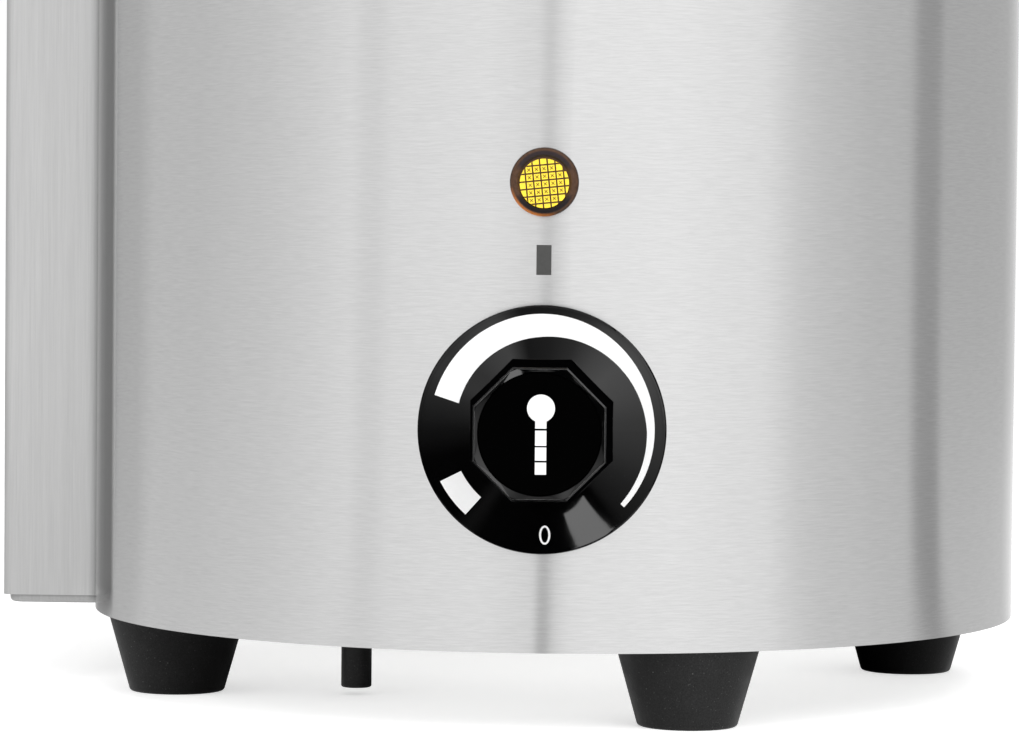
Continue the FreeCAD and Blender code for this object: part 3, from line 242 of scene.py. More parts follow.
# How dark the painted shade is, and the share of that where it has paled
PAINTED_SHADE_DARK, PAINTED_SHADE_PALED = 0.45, 0.75


def box_painted_shade(f, under, from_x, from_y, z):
    """Paints shade on the round wall beside the box, and through the specular tint a darker reflection too.
    """
    dark = f.product(f.rise(from_y, PAINTED_SHADE_FRONT, PAINTED_SHADE_DARK), f.fall(from_y, PAINTED_SHADE_PALING, PAINTED_SHADE_PALED))
    above_foot = f.rise(f.calc("SUBTRACT", z, BOX_FOOT), PAINTED_SHADE_FOOT)
    kept = f.calc("SUBTRACT", 1.0, f.product(dark, f.fall(from_x, PAINTED_SHADE_SIDE), above_foot))
    f.dim(under, kept)
    f.link(kept, f.shader.inputs["Specular Tint"])


def steel_round(name, colour, roughness=0.18, anisotropic=1.0, painted_shade_beside_box=False):
    """Sheet brushed round the upright axis: fine streaks that follow the wall, and rings on flat parts."""
    f = Finish(name, colour, metallic=1.0, roughness=roughness, anisotropic=anisotropic)
    x, y, z = f.place()
    from_x, from_y = f.calc("SUBTRACT", x, AXIS_X), f.calc("SUBTRACT", y, AXIS_Y)
    across = f.calc("ADD", f.distance(from_x, from_y), z)
    fine = f.noise(f.scaled((x, y, across), (0.2, 0.2, 2.7)), detail=4.0, roughness=0.65)
    blotch = f.noise(f.scaled((x, y, across), (0.05, 0.05, 0.16)))
    both = f.blend(fine, blotch, 0.92)
    under = f.shades(both, 0.94, 1.055)
    # Painted shade and darker reflection on the wall beside the box
    if painted_shade_beside_box:
        box_painted_shade(f, under, from_x, from_y, z)
    f.gloss(both, roughness * 0.95, roughness * 1.05)
    f.bump(fine, 0.002)
    f.stretch(BRUSHED_LEVEL)
    return f.made


def drawn_out(along, across_scale, along_scale):
    """Noise scales for streaks along one axis."""
    return tuple(along_scale if axis == along else across_scale for axis in "xyz")


def steel_straight(name, colour, along):
    """Sheet brushed along one axis: upright on the walls, left to right on the top."""
    roughness = 0.32
    f = Finish(name, colour, metallic=1.0, roughness=roughness, anisotropic=0.95)
    place = f.place()
    fine = f.noise(f.scaled(place, drawn_out(along, 1.7, 0.05)), detail=4.0)
    both = f.blend(fine, f.noise(f.scaled(place, drawn_out(along, 0.3, 0.012))), 0.65)
    # Painted shade in the corners where the box's sheets stand close
    f.painted_corner_shade(f.shades(both, 0.9, 1.08), 3)
    f.gloss(both, roughness * 0.9, roughness * 1.1)
    f.bump(fine, 0.003)
    f.stretch(BRUSHED_UPRIGHT if along == "z" else BRUSHED_LEVEL)
    return f.made


def mottle(f, grain, dark, light, relief, roughness):
    """Soft irregular shading, gloss and relief; returns the shades and the relief."""
    value = f.noise(f.scaled(f.place(), 1 / grain), detail=5.0, roughness=0.6)
    under = f.shades(value, dark, light)
    f.gloss(value, roughness * 0.85, min(1.0, roughness * 1.2))
    return under, f.bump(value, relief)


def mottled(name, colour, grain, dark, light, relief, roughness, **settings):
    """A surface with soft irregular shading and relief; grain is its coarseness in millimetres."""
    f = Finish(name, colour, roughness=roughness, **settings)
    mottle(f, grain, dark, light, relief, roughness)
    return f.made


def painted_light_by_facing(f, x, y):
    """Painted light: 0 on surfaces that look in under the base, 1 on those that look away from its middle."""
    level = f.joined(*f.facing()[:2], 0.0)
    away = f.node("VectorMath", operation="NORMALIZE")
    f.link(f.joined(f.calc("SUBTRACT", x, AXIS_X), f.calc("SUBTRACT", y, AXIS_Y), 0.0), away.inputs[0])
    return f.calc("POWER", f.rise(f.dot(level, away.outputs[0]), (-1.0, 1.0)), 1.8)


def dusty_rubber(name):
    """Moulded black rubber, dusty and pale-specked, with painted shade where it looks in under the base."""
    dust, thick_dust = (0.2, 0.2, 0.195), (0.42, 0.6)
    f = Finish(name, (0.0088, 0.0088, 0.0089), roughness=0.5)
    place = f.place()
    haze = f.noise(f.scaled(place, 0.11), detail=4.0)
    pores = f.noise(f.scaled(place, 1.6))
    grain = f.noise(f.scaled(place, 2.6), detail=2.0)
    under = f.shades(f.blend(haze, grain, 0.4), 0.4, 2.4, edges=(0.36, 0.66))
    for scale, reach, strength in ((1.3, 0.2, 0.3), (0.5, 0.1, 0.6)):
        dots = f.node("TexVoronoi", feature="F1")
        dots.inputs["Scale"].default_value = scale
        dots.inputs["Randomness"].default_value = 1.0
        f.link(f.joined(*place), dots.inputs["Vector"])
        patch = f.rise(f.noise(f.scaled(place, 0.3 * scale), detail=2.0), thick_dust)
        spot = f.spread(dots.outputs["Distance"], reach * 0.6, reach, strength, 0.0)
        under = f.specks(under, f.product(spot, patch), dust)
    # Painted shade on the sides that look in under the base, on colour and gloss
    painted_light_share = painted_light_by_facing(f, *place[:2])
    f.dim(under, painted_light_share)
    f.link(f.product(painted_light_share, 0.3), f.shader.inputs["Specular IOR Level"])
    f.gloss(haze, 0.4, 0.62)
    f.bump(f.calc("ADD", f.product(pores, 0.6), haze), 0.06)
    return f.made


def turned_metal(name, colour, pitch, roughness):
    """Turned stock: fine rings one above the other."""
    f = Finish(name, colour, metallic=1.0, roughness=roughness, anisotropic=0.6)
    rings = f.noise(f.scaled(f.place(), (0.04, 0.04, 1 / pitch)))
    f.shades(rings, 0.9, 1.05)
    f.gloss(rings, roughness * 0.85, roughness * 1.2)
    f.bump(rings, 0.006)
    f.stretch(BRUSHED_LEVEL)
    return f.made


def glass_clear(name):
    """Clear drawn glass with the slightest waviness, greener where it is looked through edgewise."""
    f = Finish(name, (0.965, 0.985, 0.98), roughness=0.0, ior=1.5, transmission_weight=1.0)
    depth = f.node("VolumeAbsorption")
    depth.inputs["Color"].default_value = (0.62, 0.7, 0.68, 1)
    depth.inputs["Density"].default_value = 24.0
    f.link(depth.outputs[0], f.tree.nodes["Material Output"].inputs["Volume"])
    f.bump(f.noise(f.scaled(f.place(), (0.01, 0.01, 0.05))), 0.02)
    return f.made


# Rings of the lamp's rim by radius: the inner and outer ends of the dark arcs, the edge with the painted
# highlight and the back
ARC_INSIDE, ARC_OUTSIDE, HIGHLIGHT_RIM, RIM_BACK = (6.2, 6.5), (7.7, 8.1), (7.9, 8.4), (8.35, 8.55)
ARC_DARK, ARC_DARKEST = (0.026, 0.019, 0.022), (0.006, 0.004, 0.005)
BACK_BROWN, PAINTED_HIGHLIGHT_AMBER = (0.03, 0.018, 0.014), (0.62, 0.2, 0.045)
# Cosines to the upright where the arcs set in; the painted highlight's way and the cosines where it sets in
ARC_COSINES, HIGHLIGHT_WAY, HIGHLIGHT_COSINES = (0.4, 0.6), (-0.5, -0.866), (0.6, 0.95)


def lamp_rim(name):
    """Smoky amber rim: dark arcs above and below the window, and a painted highlight on the lower left edge.
    """
    f = Finish(name, (0.082, 0.042, 0.024), roughness=0.16, specular_ior_level=0.2)
    x, y, z = f.place()
    across, up = f.calc("SUBTRACT", x, AXIS_X), f.calc("SUBTRACT", z, LAMP_Z)
    radius = f.distance(across, up)
    beside_window = f.product(f.rise(radius, ARC_INSIDE), f.fall(radius, ARC_OUTSIDE))
    upright = f.calc("DIVIDE", f.calc("ABSOLUTE", up), radius)
    arcs = f.product(f.rise(upright, ARC_COSINES, 0.95), beside_window)
    lower_left = f.calc("ADD", f.product(across, HIGHLIGHT_WAY[0]), f.product(up, HIGHLIGHT_WAY[1]))
    towards = f.rise(f.calc("DIVIDE", lower_left, radius), HIGHLIGHT_COSINES, 0.9)
    haze = f.noise(f.joined(across, y, up))
    under = f.specks(f.shades(haze, 0.75, 1.3), arcs, ARC_DARK)
    under = f.specks(under, f.product(arcs, f.spread(up, -6, -2, 0.8, 0.0)), ARC_DARKEST)
    under = f.specks(under, f.rise(radius, RIM_BACK, 0.7), BACK_BROWN)
    # Painted highlight on the lower left edge of the rim
    f.specks(under, f.product(f.rise(radius, HIGHLIGHT_RIM), towards), PAINTED_HIGHLIGHT_AMBER)
    f.gloss(haze, 0.14, 0.2)
    return f.made


# The painted highlight on the knob's front edges: its radius, colour and reach behind its front
EDGE_HIGHLIGHT_RADIUS, EDGE_HIGHLIGHT_GREY, EDGE_HIGHLIGHT_REACH = 0.18, (0.45, 0.45, 0.45), (0.35, 0.5)
# Radius of its other edges, and how much it mirrors from faces that look this far ahead
SOFT_RADIUS, FACES_AHEAD, GLOSS_AHEAD = 0.3, (0.3, 0.55), 0.25


def knob_moulding(name):
    """Glossy black moulding that mirrors little sideways, with a grey painted highlight on its grip's front
    edges.
    """
    roughness = 0.06
    f = Finish(name, (0.0008, 0.0008, 0.0009), roughness=roughness)
    under, relief = mottle(f, 6.0, 0.8, 1.3, 0.002, roughness)
    f.link(f.rounded(SOFT_RADIUS, 6), relief.inputs["Normal"])
    behind_front = f.calc("SUBTRACT", f.place()[1], KNOB_FRONT)
    # Painted highlight on the grip's front edges
    f.painted_edge_highlight(under, EDGE_HIGHLIGHT_RADIUS, EDGE_HIGHLIGHT_GREY, f.fall(behind_front, EDGE_HIGHLIGHT_REACH))
    ahead = f.calc("ABSOLUTE", f.facing()[1])
    f.link(f.rise(ahead, FACES_AHEAD, GLOSS_AHEAD), f.shader.inputs["Specular IOR Level"])
    return f.made


STEEL = (0.775, 0.775, 0.775)
BOX_STEEL = (0.7, 0.7, 0.698)
finish = {
    # The round wall gets painted shade beside the box
    "shell": steel_round("brushed_round_steel", STEEL, painted_shade_beside_box=True),
    "box": steel_straight("brushed_upright_steel", BOX_STEEL, along="z"),
    "box_top": steel_straight("brushed_top_steel", BOX_STEEL, along="x"),
    "satin": steel_round("satin_inner_steel", (0.66, 0.66, 0.65), roughness=0.36, anisotropic=0.5),
    "bright": turned_metal("bright_drawn_steel", (0.7, 0.7, 0.69), 0.4, 0.2),
    "plated": mottled("plated_fastener", (0.64, 0.64, 0.61), 2.2, 0.85, 1.08, 0.008,
                      metallic=1.0, roughness=0.28),
    "rubber": dusty_rubber("dusty_black_rubber"),
    "silicone": mottled("clear_silicone", (0.86, 0.87, 0.86), 9.0, 0.92, 1.04, 0.01,
                        roughness=0.35, transmission_weight=0.55, ior=1.41),
    "knob": knob_moulding("glossy_black_moulding"),
    "disc": mottled("matte_black_inlay", (0.0003, 0.0003, 0.0003), 0.5, 0.7, 1.3, 0.004,
                    roughness=0.6, specular_ior_level=0.01),
    "plastic": mottled("grained_black_plastic", (0.012, 0.012, 0.013), 0.6, 0.75, 1.5, 0.02,
                       roughness=0.42, specular_ior_level=0.4),
    "red": mottled("red_rocker_plastic", (0.5, 0.012, 0.01), 4.0, 0.85, 1.15, 0.004, roughness=0.18),
    "amber": lamp_rim("amber_lens_rim"),
    "glass": glass_clear("clear_drawn_glass"),
    "spike": turned_metal("turned_aluminium", (0.78, 0.785, 0.79), 0.5, 0.3),
    "ceramic": mottled("white_insulator", (0.72, 0.7, 0.66), 2.5, 0.92, 1.05, 0.01, roughness=0.4),
    "brass": mottled("terminal_brass", (0.66, 0.48, 0.2), 2.0, 0.85, 1.1, 0.006,
                     metallic=1.0, roughness=0.3),
}

worn_by = {
    "shell": ["base_shell", "deck_ring", "lid"],
    "box": ["toaster_wrapper", "toaster_tray"],
    "box_top": ["toaster_top"],
    "satin": ["base_plate", "water_tank", "basket_tray", "basket_divider", "dry_boil_cutout",
              "toaster_thermostat", "knob_clip"],
    "bright": ["basket_legs", "basket_rod", "heating_element", "drain_pipe", "regulator_shaft", "lid_washer",
               "lid_screw", "basket_nut", "heater_nuts"],
    "plated": ["foot_screws", "regulator_screws", "toaster_screws", "spike_nuts"],
    "rubber": ["foot_front", "foot_right", "foot_rear", "foot_left", "toaster_foot_left",
               "toaster_foot_right", "drain_cap", "wiring_grommet"],
    "silicone": ["glass_foot_seal", "glass_rim_seal"],
    "knob": ["control_knob"],
    "disc": ["knob_cap"],
    "plastic": ["lid_knob", "basket_handle", "switch_body", "cord_gland", "gland_nut", "lamp_nut",
                "energy_regulator", "lamp_holder"],
    "red": ["switch_rocker"],
    "amber": ["lamp_lens", "lamp_diffuser"],
    "glass": ["glass_cylinder", "lamp_bulb"],
    "spike": ["spike_1", "spike_2", "spike_3", "spike_4", "spike_cartridges"],
    "ceramic": ["spike_collars", "terminal_block"],
    "brass": ["heater_pins", "regulator_terminals"],
}
for look, wearers in worn_by.items():
    for name in wearers:
        slots = nodes[name].data.materials
        slots.clear()
        slots.append(finish[look])
bare = sorted(set(nodes) - {name for wearers in worn_by.values() for name in wearers})
if bare:
    print("no finish yet:", bare)


# Pieces made here

def solid_piece(name, builder, look, body):
    """A closed mesh piece from a function that fills a bmesh in millimetres, in the row frame."""
    mesh = bpy.data.meshes.new(name)
    grid = bmesh.new()
    builder(grid)
    bmesh.ops.scale(grid, vec=(MM, MM, MM), verts=grid.verts)
    bmesh.ops.recalc_face_normals(grid, faces=grid.faces)
    grid.to_mesh(mesh)
    grid.free()
    piece = bpy.data.objects.new(name, mesh)
    bpy.context.scene.collection.objects.link(piece)
    mesh.materials.append(look)
    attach(piece, body)
    return piece


def slab(grid, outline, lift):
    """A thin solid over a closed outline of (a, b); lift(a, b, share) places it, share 0 below, 1 above."""
    low = [grid.verts.new(lift(a, b, 0)) for a, b in outline]
    high = [grid.verts.new(lift(a, b, 1)) for a, b in outline]
    grid.faces.new(low)
    grid.faces.new(high)
    for i in range(len(outline)):
        j = (i + 1) % len(outline)
        grid.faces.new([low[i], low[j], high[j], high[i]])


SAME_PLACE = 1e-6


def band(grid, inner, outer, lift):
    """A thin solid between two lines of equally many (a, b) points."""
    rows = []
    for share in (0, 1):
        rows.append([grid.verts.new(lift(a, b, share)) for a, b in inner])
        rows.append([grid.verts.new(lift(a, b, share)) for a, b in outer])
    closed = (Vector(inner[0]) - Vector(inner[-1])).length < SAME_PLACE
    if closed:
        for row in rows:
            grid.verts.remove(row.pop())
    low_in, low_out, high_in, high_out = rows
    count = len(low_in)
    for i in range(count if closed else count - 1):
        j = (i + 1) % count
        grid.faces.new([low_in[i], low_out[i], low_out[j], low_in[j]])
        grid.faces.new([high_in[i], high_in[j], high_out[j], high_out[i]])
        grid.faces.new([low_in[i], low_in[j], high_in[j], high_in[i]])
        grid.faces.new([low_out[i], high_out[i], high_out[j], low_out[j]])
    if not closed:
        for i in (0, count - 1):
            grid.faces.new([low_in[i], low_out[i], high_out[i], high_in[i]])


def circle(parts):
    """The turns at which a whole circle is cut, without its end."""
    return [2 * math.pi * i / parts for i in range(parts)]


# Corners of a unit square, one after the other, and the steps of a smooth round
SQUARE, SMOOTH = ((-1, -1), (1, -1), (1, 1), (-1, 1)), 48
# How deep print reaches into what it is on
PRINT = 0.05
# The knob's skirt: its ends by distance from the knob's axis and out of the wall, how far its middle dips
# under the line between them, and the arc's share of the shorter slope
SKIRT_FOOT, SKIRT_TOP = Vector((31.5, 3.6)), Vector((17.0, 8.2))
SKIRT_DIP, DISH_SHARE = 1.3, 0.85


def skirt_out(radius):
    """How far the knob's dished skirt stands out of the wall: two slopes and the arc between them."""
    middle = (SKIRT_FOOT + SKIRT_TOP) / 2 - Vector((0, SKIRT_DIP))
    down, up = SKIRT_FOOT - middle, SKIRT_TOP - middle
    reach = DISH_SHARE * min(down.length, up.length)
    down.normalize()
    up.normalize()
    half = down.angle(up) / 2
    bend = reach * math.tan(half)
    if middle.x + reach * up.x < radius < middle.x + reach * down.x:
        hub = middle + (down + up).normalized() * bend / math.sin(half)
        return hub.y - math.sqrt(bend ** 2 - (radius - hub.x) ** 2)
    slope = down if radius > middle.x else up
    return middle.y + slope.y * (radius - middle.x) / slope.x


def on_skirt(a, b, share):
    """From (radius, clock angle) on the knob's dished skirt to the row frame."""
    turn = math.radians(b)
    out = skirt_out(a) + PRINT * (3 * share - 1)
    return (AXIS_X + a * math.sin(turn), WALL_FRONT - out, KNOB_Z + a * math.cos(turn))


def on_skirt_flat(a, b, share):
    """From (across, up) about the knob's centre to its skirt."""
    return on_skirt(math.hypot(a, b), math.degrees(math.atan2(a, b)), share)


def on_disc(a, b, share):
    """From (across, up) about the knob's centre to its inlay."""
    return (AXIS_X + a, WALL_FRONT - DISC_OUT - PRINT * (2 * share - 1), KNOB_Z + b)


def on_shell(a, b, share):
    """From (across, height) to the round wall in front."""
    turn = a / SHELL_RADIUS
    r = SHELL_RADIUS + PRINT * (2 * share - 1)
    return (AXIS_X + r * math.sin(turn), AXIS_Y - r * math.cos(turn), b)


# Inner radius of the heat wedge by clock angle; its outer radius, and how much that swells at the top
WEDGE_INNER = ((-72.4, 22.0), (0.0, 23.6), (90.0, 26.5), (132.6, 27.2))
WEDGE_OUTER, WEDGE_SWELL = 28.45, 0.9


def wedge_inner(turn):
    for (t0, r0), (t1, r1) in zip(WEDGE_INNER, WEDGE_INNER[1:]):
        if turn <= t1 + SAME_PLACE:
            return r0 + (r1 - r0) * (turn - t0) / (t1 - t0)


def heat_wedge(grid):
    steps = 2 * SMOOTH
    start, end = WEDGE_INNER[0][0], WEDGE_INNER[-1][0]
    turns = [start + (end - start) * i / steps for i in range(steps + 1)]
    outer = [(WEDGE_OUTER + WEDGE_SWELL * max(0, math.cos(math.radians(t))) ** 2, t) for t in turns]
    band(grid, [(wedge_inner(t), t) for t in turns], outer, on_skirt)


def full_heat_block(grid):
    start, sweep, inner, outer, steps = 221.6, 21.1, 22.8, 28.8, 10
    turns = [start + sweep * i / steps for i in range(steps + 1)]
    band(grid, [(inner, t) for t in turns], [(outer, t) for t in turns], on_skirt)


def figure_zero(grid):
    aside, up = 0.98, -26.5
    ring = circle(SMOOTH) + [0.0]
    inner, outer = [[(aside + wide * math.sin(t), up + high * math.cos(t)) for t in ring]
                    for wide, high in ((0.9, 1.95), (1.42, 2.45))]
    band(grid, inner, outer, on_skirt_flat)


def dial_print(grid):
    """Long wedge of the heat scale, the block for full heat and the figure 0."""
    heat_wedge(grid)
    full_heat_block(grid)
    figure_zero(grid)


def icon_print(grid):
    """Thermometer sign: bulb with a short neck, and three blocks under it."""
    radius, middle, aside, half, neck = 3.47, 6.4, 0.3, 1.4, 1.42
    blocks = ((0.93, -2.85), (-3.23, -6.52), (-6.97, -9.98))
    turn = math.asin(half / radius)
    outline = []
    for i in range(SMOOTH + 1):
        t = math.pi + turn + (2 * math.pi - 2 * turn) * i / SMOOTH
        outline.append((aside + radius * math.sin(t), middle + radius * math.cos(t)))
    left, right = aside - half, aside + half
    outline += [(right, neck), (left, neck)]
    slab(grid, outline, on_disc)
    for top, bottom in blocks:
        slab(grid, [(left, bottom), (right, bottom), (right, top), (left, top)], on_disc)


def index_print(grid):
    """Index mark on the round wall over the knob."""
    over_knob, half_wide, half_high, steps = 42.9, 1.9, 3.8, 8
    low, high = KNOB_Z + over_knob - half_high, KNOB_Z + over_knob + half_high
    across = [-half_wide + 2 * half_wide * i / steps for i in range(steps + 1)]
    band(grid, [(a, low) for a in across], [(a, high) for a in across], on_shell)


white_ink = mottled("white_dial_ink", (0.95, 0.95, 0.95), 0.8, 0.985, 1.0, 0.002, roughness=0.45)
grey_ink = mottled("dark_index_ink", (0.06, 0.06, 0.058), 0.6, 0.85, 1.15, 0.002, roughness=0.5)
solid_piece("dial_scale_print", dial_print, white_ink, "knob")
solid_piece("thermometer_print", icon_print, white_ink, "knob")
solid_piece("index_mark", index_print, grey_ink, "base")


# Lamp window: square prisms under the amber rim

# The window: how far its back is out of the wall, its radius, and how far its middle is under the lamp's
WINDOW_OUT, WINDOW_RADIUS, WINDOW_LOW = 2.7, 6.27, 0.36
# The prisms' grid: distance of cells, turn, and its shift across and up
PRISM_PITCH, PRISM_TURN, PRISM_SHIFT = 1.93, math.radians(5.8), (0.24, -0.16)
# Half the groove between prisms, cells on each side, the least that a cell reaches in, and the rim's gap
HALF_GROOVE, CELLS_EACH_WAY, LEAST_REACH, RIM_GAP = 0.2, 4, 0.3, 0.05
# Heights over the window's back: the bed's top, and a prism's foot, top and dip
BED_TOP, PRISM_FOOT, PRISM_TOP, PRISM_DIP = 0.08, 0.06, 0.4, 0.26
# A cross: its foot's height, thickness, half length and half width, and how far from the rim the last one is
CROSS_FOOT, CROSS_THICK, CROSS_REACH, CROSS_HALF, CROSS_CLEAR = 0.3, 0.12, 0.58, 0.065, 0.8


def lamp_point(a, b, out):
    """From (across, up) about the window's middle, which sits a little low in the rim."""
    return (AXIS_X + a, WALL_FRONT - out, LAMP_Z - WINDOW_LOW + b)


def turned_by(a, b):
    c, s = math.cos(PRISM_TURN), math.sin(PRISM_TURN)
    return (a * c - b * s, a * s + b * c)


def clipped(corners, radius):
    """A square cut to the round window: points along its sides, moved in to the circle where they pass it."""
    side_parts, least = 8, 0.02
    points = []
    count = len(corners)
    for i in range(count):
        p, q = Vector(corners[i]), Vector(corners[(i + 1) % count])
        for k in range(side_parts):
            r = p.lerp(q, k / side_parts)
            if r.length > radius:
                r = r.normalized() * radius
            if not points or (r - points[-1]).length > least:
                points.append(r)
    while len(points) > 1 and (points[0] - points[-1]).length < least:
        points.pop()
    return points


def prism_cells():
    """Middle and corners of each cell that the window shows."""
    half = PRISM_PITCH / 2 - HALF_GROOVE
    cells = []
    for i in range(-CELLS_EACH_WAY, CELLS_EACH_WAY + 1):
        for k in range(-CELLS_EACH_WAY, CELLS_EACH_WAY + 1):
            a, b = i * PRISM_PITCH + PRISM_SHIFT[0], k * PRISM_PITCH + PRISM_SHIFT[1]
            corners = [turned_by(a + s * half, b + t * half) for s, t in SQUARE]
            if min(Vector(c).length for c in corners) < WINDOW_RADIUS - LEAST_REACH:
                cells.append((Vector(turned_by(a, b)), corners))
    return cells


def lamp_bed(grid):
    outline = [(WINDOW_RADIUS * math.sin(t), WINDOW_RADIUS * math.cos(t)) for t in circle(SMOOTH)]
    slab(grid, outline, lambda a, b, share: lamp_point(a, b, WINDOW_OUT + BED_TOP * share))


def lamp_prisms(grid):
    """Raised square cells whose tops dip to the middle, cut to the round window."""
    for _, corners in prism_cells():
        outline = clipped(corners, WINDOW_RADIUS - RIM_GAP)
        if len(outline) < 3:
            continue
        middle = sum(outline, Vector((0, 0))) / len(outline)
        low = [grid.verts.new(lamp_point(p.x, p.y, WINDOW_OUT + PRISM_FOOT)) for p in outline]
        high = [grid.verts.new(lamp_point(p.x, p.y, WINDOW_OUT + PRISM_TOP)) for p in outline]
        tip = grid.verts.new(lamp_point(middle.x, middle.y, WINDOW_OUT + PRISM_DIP))
        grid.faces.new(low)
        count = len(outline)
        for i in range(count):
            j = (i + 1) % count
            grid.faces.new([low[i], low[j], high[j], high[i]])
            grid.faces.new([high[i], high[j], tip])


def lamp_crosses(grid):
    """The dark cross seen at the bottom of each cell's dip."""
    for middle, _ in prism_cells():
        if middle.length > WINDOW_RADIUS - CROSS_CLEAR:
            continue
        for lean in (45, -45):
            turn = math.radians(lean) + PRISM_TURN
            along = Vector((math.cos(turn), math.sin(turn))) * CROSS_REACH
            side = Vector((-math.sin(turn), math.cos(turn))) * CROSS_HALF
            outline = [middle + s * along + t * side for s, t in SQUARE]
            slab(grid, [(p.x, p.y) for p in outline],
                 lambda a, b, share: lamp_point(a, b, WINDOW_OUT + CROSS_FOOT + CROSS_THICK * share))


def lit_plastic(name, colour, glow, strength):
    """Plastic with a faint light of its own."""
    made = mottled(name, colour, 1.3, 0.85, 1.1, 0.01, roughness=0.25)
    shader = made.node_tree.nodes["Principled BSDF"]
    shader.inputs["Emission Color"].default_value = (*glow, 1)
    shader.inputs["Emission Strength"].default_value = strength
    return made


lamp_yellow = lit_plastic("lit_yellow_prisms", (0.82, 0.6, 0.035), (1.0, 0.75, 0.05), 0.42)
lamp_brown = lit_plastic("lamp_grid_brown", (0.05, 0.02, 0.002), (0.3, 0.12, 0.01), 0.08)
lamp_orange = lit_plastic("lamp_cross_orange", (0.1, 0.04, 0.003), (0.4, 0.15, 0.01), 0.06)
solid_piece("lamp_window_bed", lamp_bed, lamp_brown, "base")
solid_piece("lamp_window_prisms", lamp_prisms, lamp_yellow, "base")
solid_piece("lamp_window_crosses", lamp_crosses, lamp_orange, "base")


# Studio: floor, wall and table that only reflections see, lamps and world

def chain(tree, operation, *values):
    """One maths node on sockets or numbers; its result."""
    made = tree.nodes.new("ShaderNodeMath")
    made.operation = operation
    for socket, value in zip(made.inputs, values):
        if isinstance(value, (int, float)):
            socket.default_value = value
        else:
            tree.links.new(value, socket)
    return made.outputs[0]


def by_vector(tree, operation, vector):
    """One vector node on a socket."""
    made = tree.nodes.new("ShaderNodeVectorMath")
    made.operation = operation
    tree.links.new(vector, made.inputs[0])
    return made


def eased(tree, value, low, high, at_low, at_high):
    """A soft step from one value to another while the given value goes from low to high."""
    made = tree.nodes.new("ShaderNodeMapRange")
    made.interpolation_type = "SMOOTHSTEP"
    for socket, number in zip(made.inputs[1:5], (low, high, at_low, at_high)):
        socket.default_value = number
    tree.links.new(value, made.inputs[0])
    return made.outputs[0]


def white_for_views(tree, strength):
    """Strength where the camera, a mirror or glass looks, and 0 for what lights the object."""
    path = tree.nodes.new("ShaderNodeLightPath")
    seen = chain(tree, "MAXIMUM", path.outputs["Is Camera Ray"], path.outputs["Is Glossy Ray"])
    seen = chain(tree, "MAXIMUM", seen, path.outputs["Is Transmission Ray"])
    return chain(tree, "MULTIPLY", seen, strength)


def empty_material(name):
    """A new material whose node tree is empty; the material, its tree and the object's own place."""
    made = bpy.data.materials.new(name)
    made.use_nodes = True
    tree = made.node_tree
    tree.nodes.clear()
    return made, tree, tree.nodes.new("ShaderNodeTexCoord").outputs["Object"]


def axes_of(tree, vector):
    split = tree.nodes.new("ShaderNodeSeparateXYZ")
    tree.links.new(vector, split.inputs[0])
    return split.outputs


def show_glow(tree, strength, over=None):
    """Makes the material glow, on top of another shader where one is given."""
    glow = tree.nodes.new("ShaderNodeEmission")
    tree.links.new(strength, glow.inputs["Strength"])
    seen = glow.outputs[0]
    if over is not None:
        both = tree.nodes.new("ShaderNodeAddShader")
        tree.links.new(over.outputs[0], both.inputs[0])
        tree.links.new(seen, both.inputs[1])
        seen = both.outputs[0]
    out = tree.nodes.new("ShaderNodeOutputMaterial")
    tree.links.new(seen, out.inputs["Surface"])


# Glow of the floor by distance from the object in metres: one close by, one that grows far off
CLOSE_GLOW, FAR_GLOW = (0.35, 0.9, 0.28, 0.0), (0.9, 4.0, 0.26, 0.54)


def floor_material():
    """Pale and matt, with a glow that keeps shadows faint and ends in the white of the world behind."""
    made, tree, place = empty_material("pale_floor")
    diffuse = tree.nodes.new("ShaderNodeBsdfDiffuse")
    diffuse.inputs["Color"].default_value = (0.86, 0.86, 0.86, 1)
    far = by_vector(tree, "LENGTH", place).outputs["Value"]
    lift = chain(tree, "ADD", eased(tree, far, *CLOSE_GLOW), eased(tree, far, *FAR_GLOW))
    show_glow(tree, white_for_views(tree, lift), over=diffuse)
    return made


def stage_mesh(name, points, faces, look):
    mesh = bpy.data.meshes.new(name)
    mesh.from_pydata(points, [], faces)
    mesh.materials.append(look)
    piece = bpy.data.objects.new(name, mesh)
    bpy.context.scene.collection.objects.link(piece)
    return piece


FLOOR_REACH = 30
floor_corners = [(FLOOR_REACH * s, FLOOR_REACH * t, 0) for s, t in SQUARE]
stage_mesh("floor", floor_corners, [(0, 1, 2, 3)], floor_material())

# Brightness round the studio, by degrees to the right of the front: two broad lit sides, with a narrow gap
# straight ahead, a faint one on the left and a dark one on the right
ROUND = ((-180, 0.8), (-156, 0.28), (-142, 0.28), (-137, 0.47), (-124, 0.5), (-116, 0.6), (-95, 0.61),
         (-74, 0.69), (-60, 0.78), (-49, 0.88), (-46, 0.81), (-42, 0.81), (-39, 0.89), (-15, 0.95),
         (-5, 0.88), (-1.8, 0.9), (-1.1, 0.73), (-0.2, 0.73), (1.6, 0.86), (4.5, 0.98), (8, 1.01),
         (30, 1.02), (53, 0.92), (62, 0.75), (69, 0.67), (83, 0.58), (97, 0.56), (101, 0.38), (108, 0.355),
         (111, 0.48), (150, 0.48), (180, 0.8))

# The table's share of that brightness near the object, which fades between two distances in metres
TABLE = ((-180, 1.2), (-139, 1.1), (-90, 1.1), (-62, 1.0), (-46, 0.92), (-3.0, 0.92), (-1.7, 0.9),
         (-1.3, 0.34), (-0.4, 0.28), (0.2, 0.7), (1.0, 0.78), (1.6, 0.82), (3, 0.87), (10, 0.9), (45, 0.93),
         (62, 0.97), (80, 1.14), (97, 1.1), (102, 0.92), (108, 0.92), (112, 1.3), (180, 1.3))
TABLE_FADE = (0.6, 2.4)
BRIGHTEST = 1.5


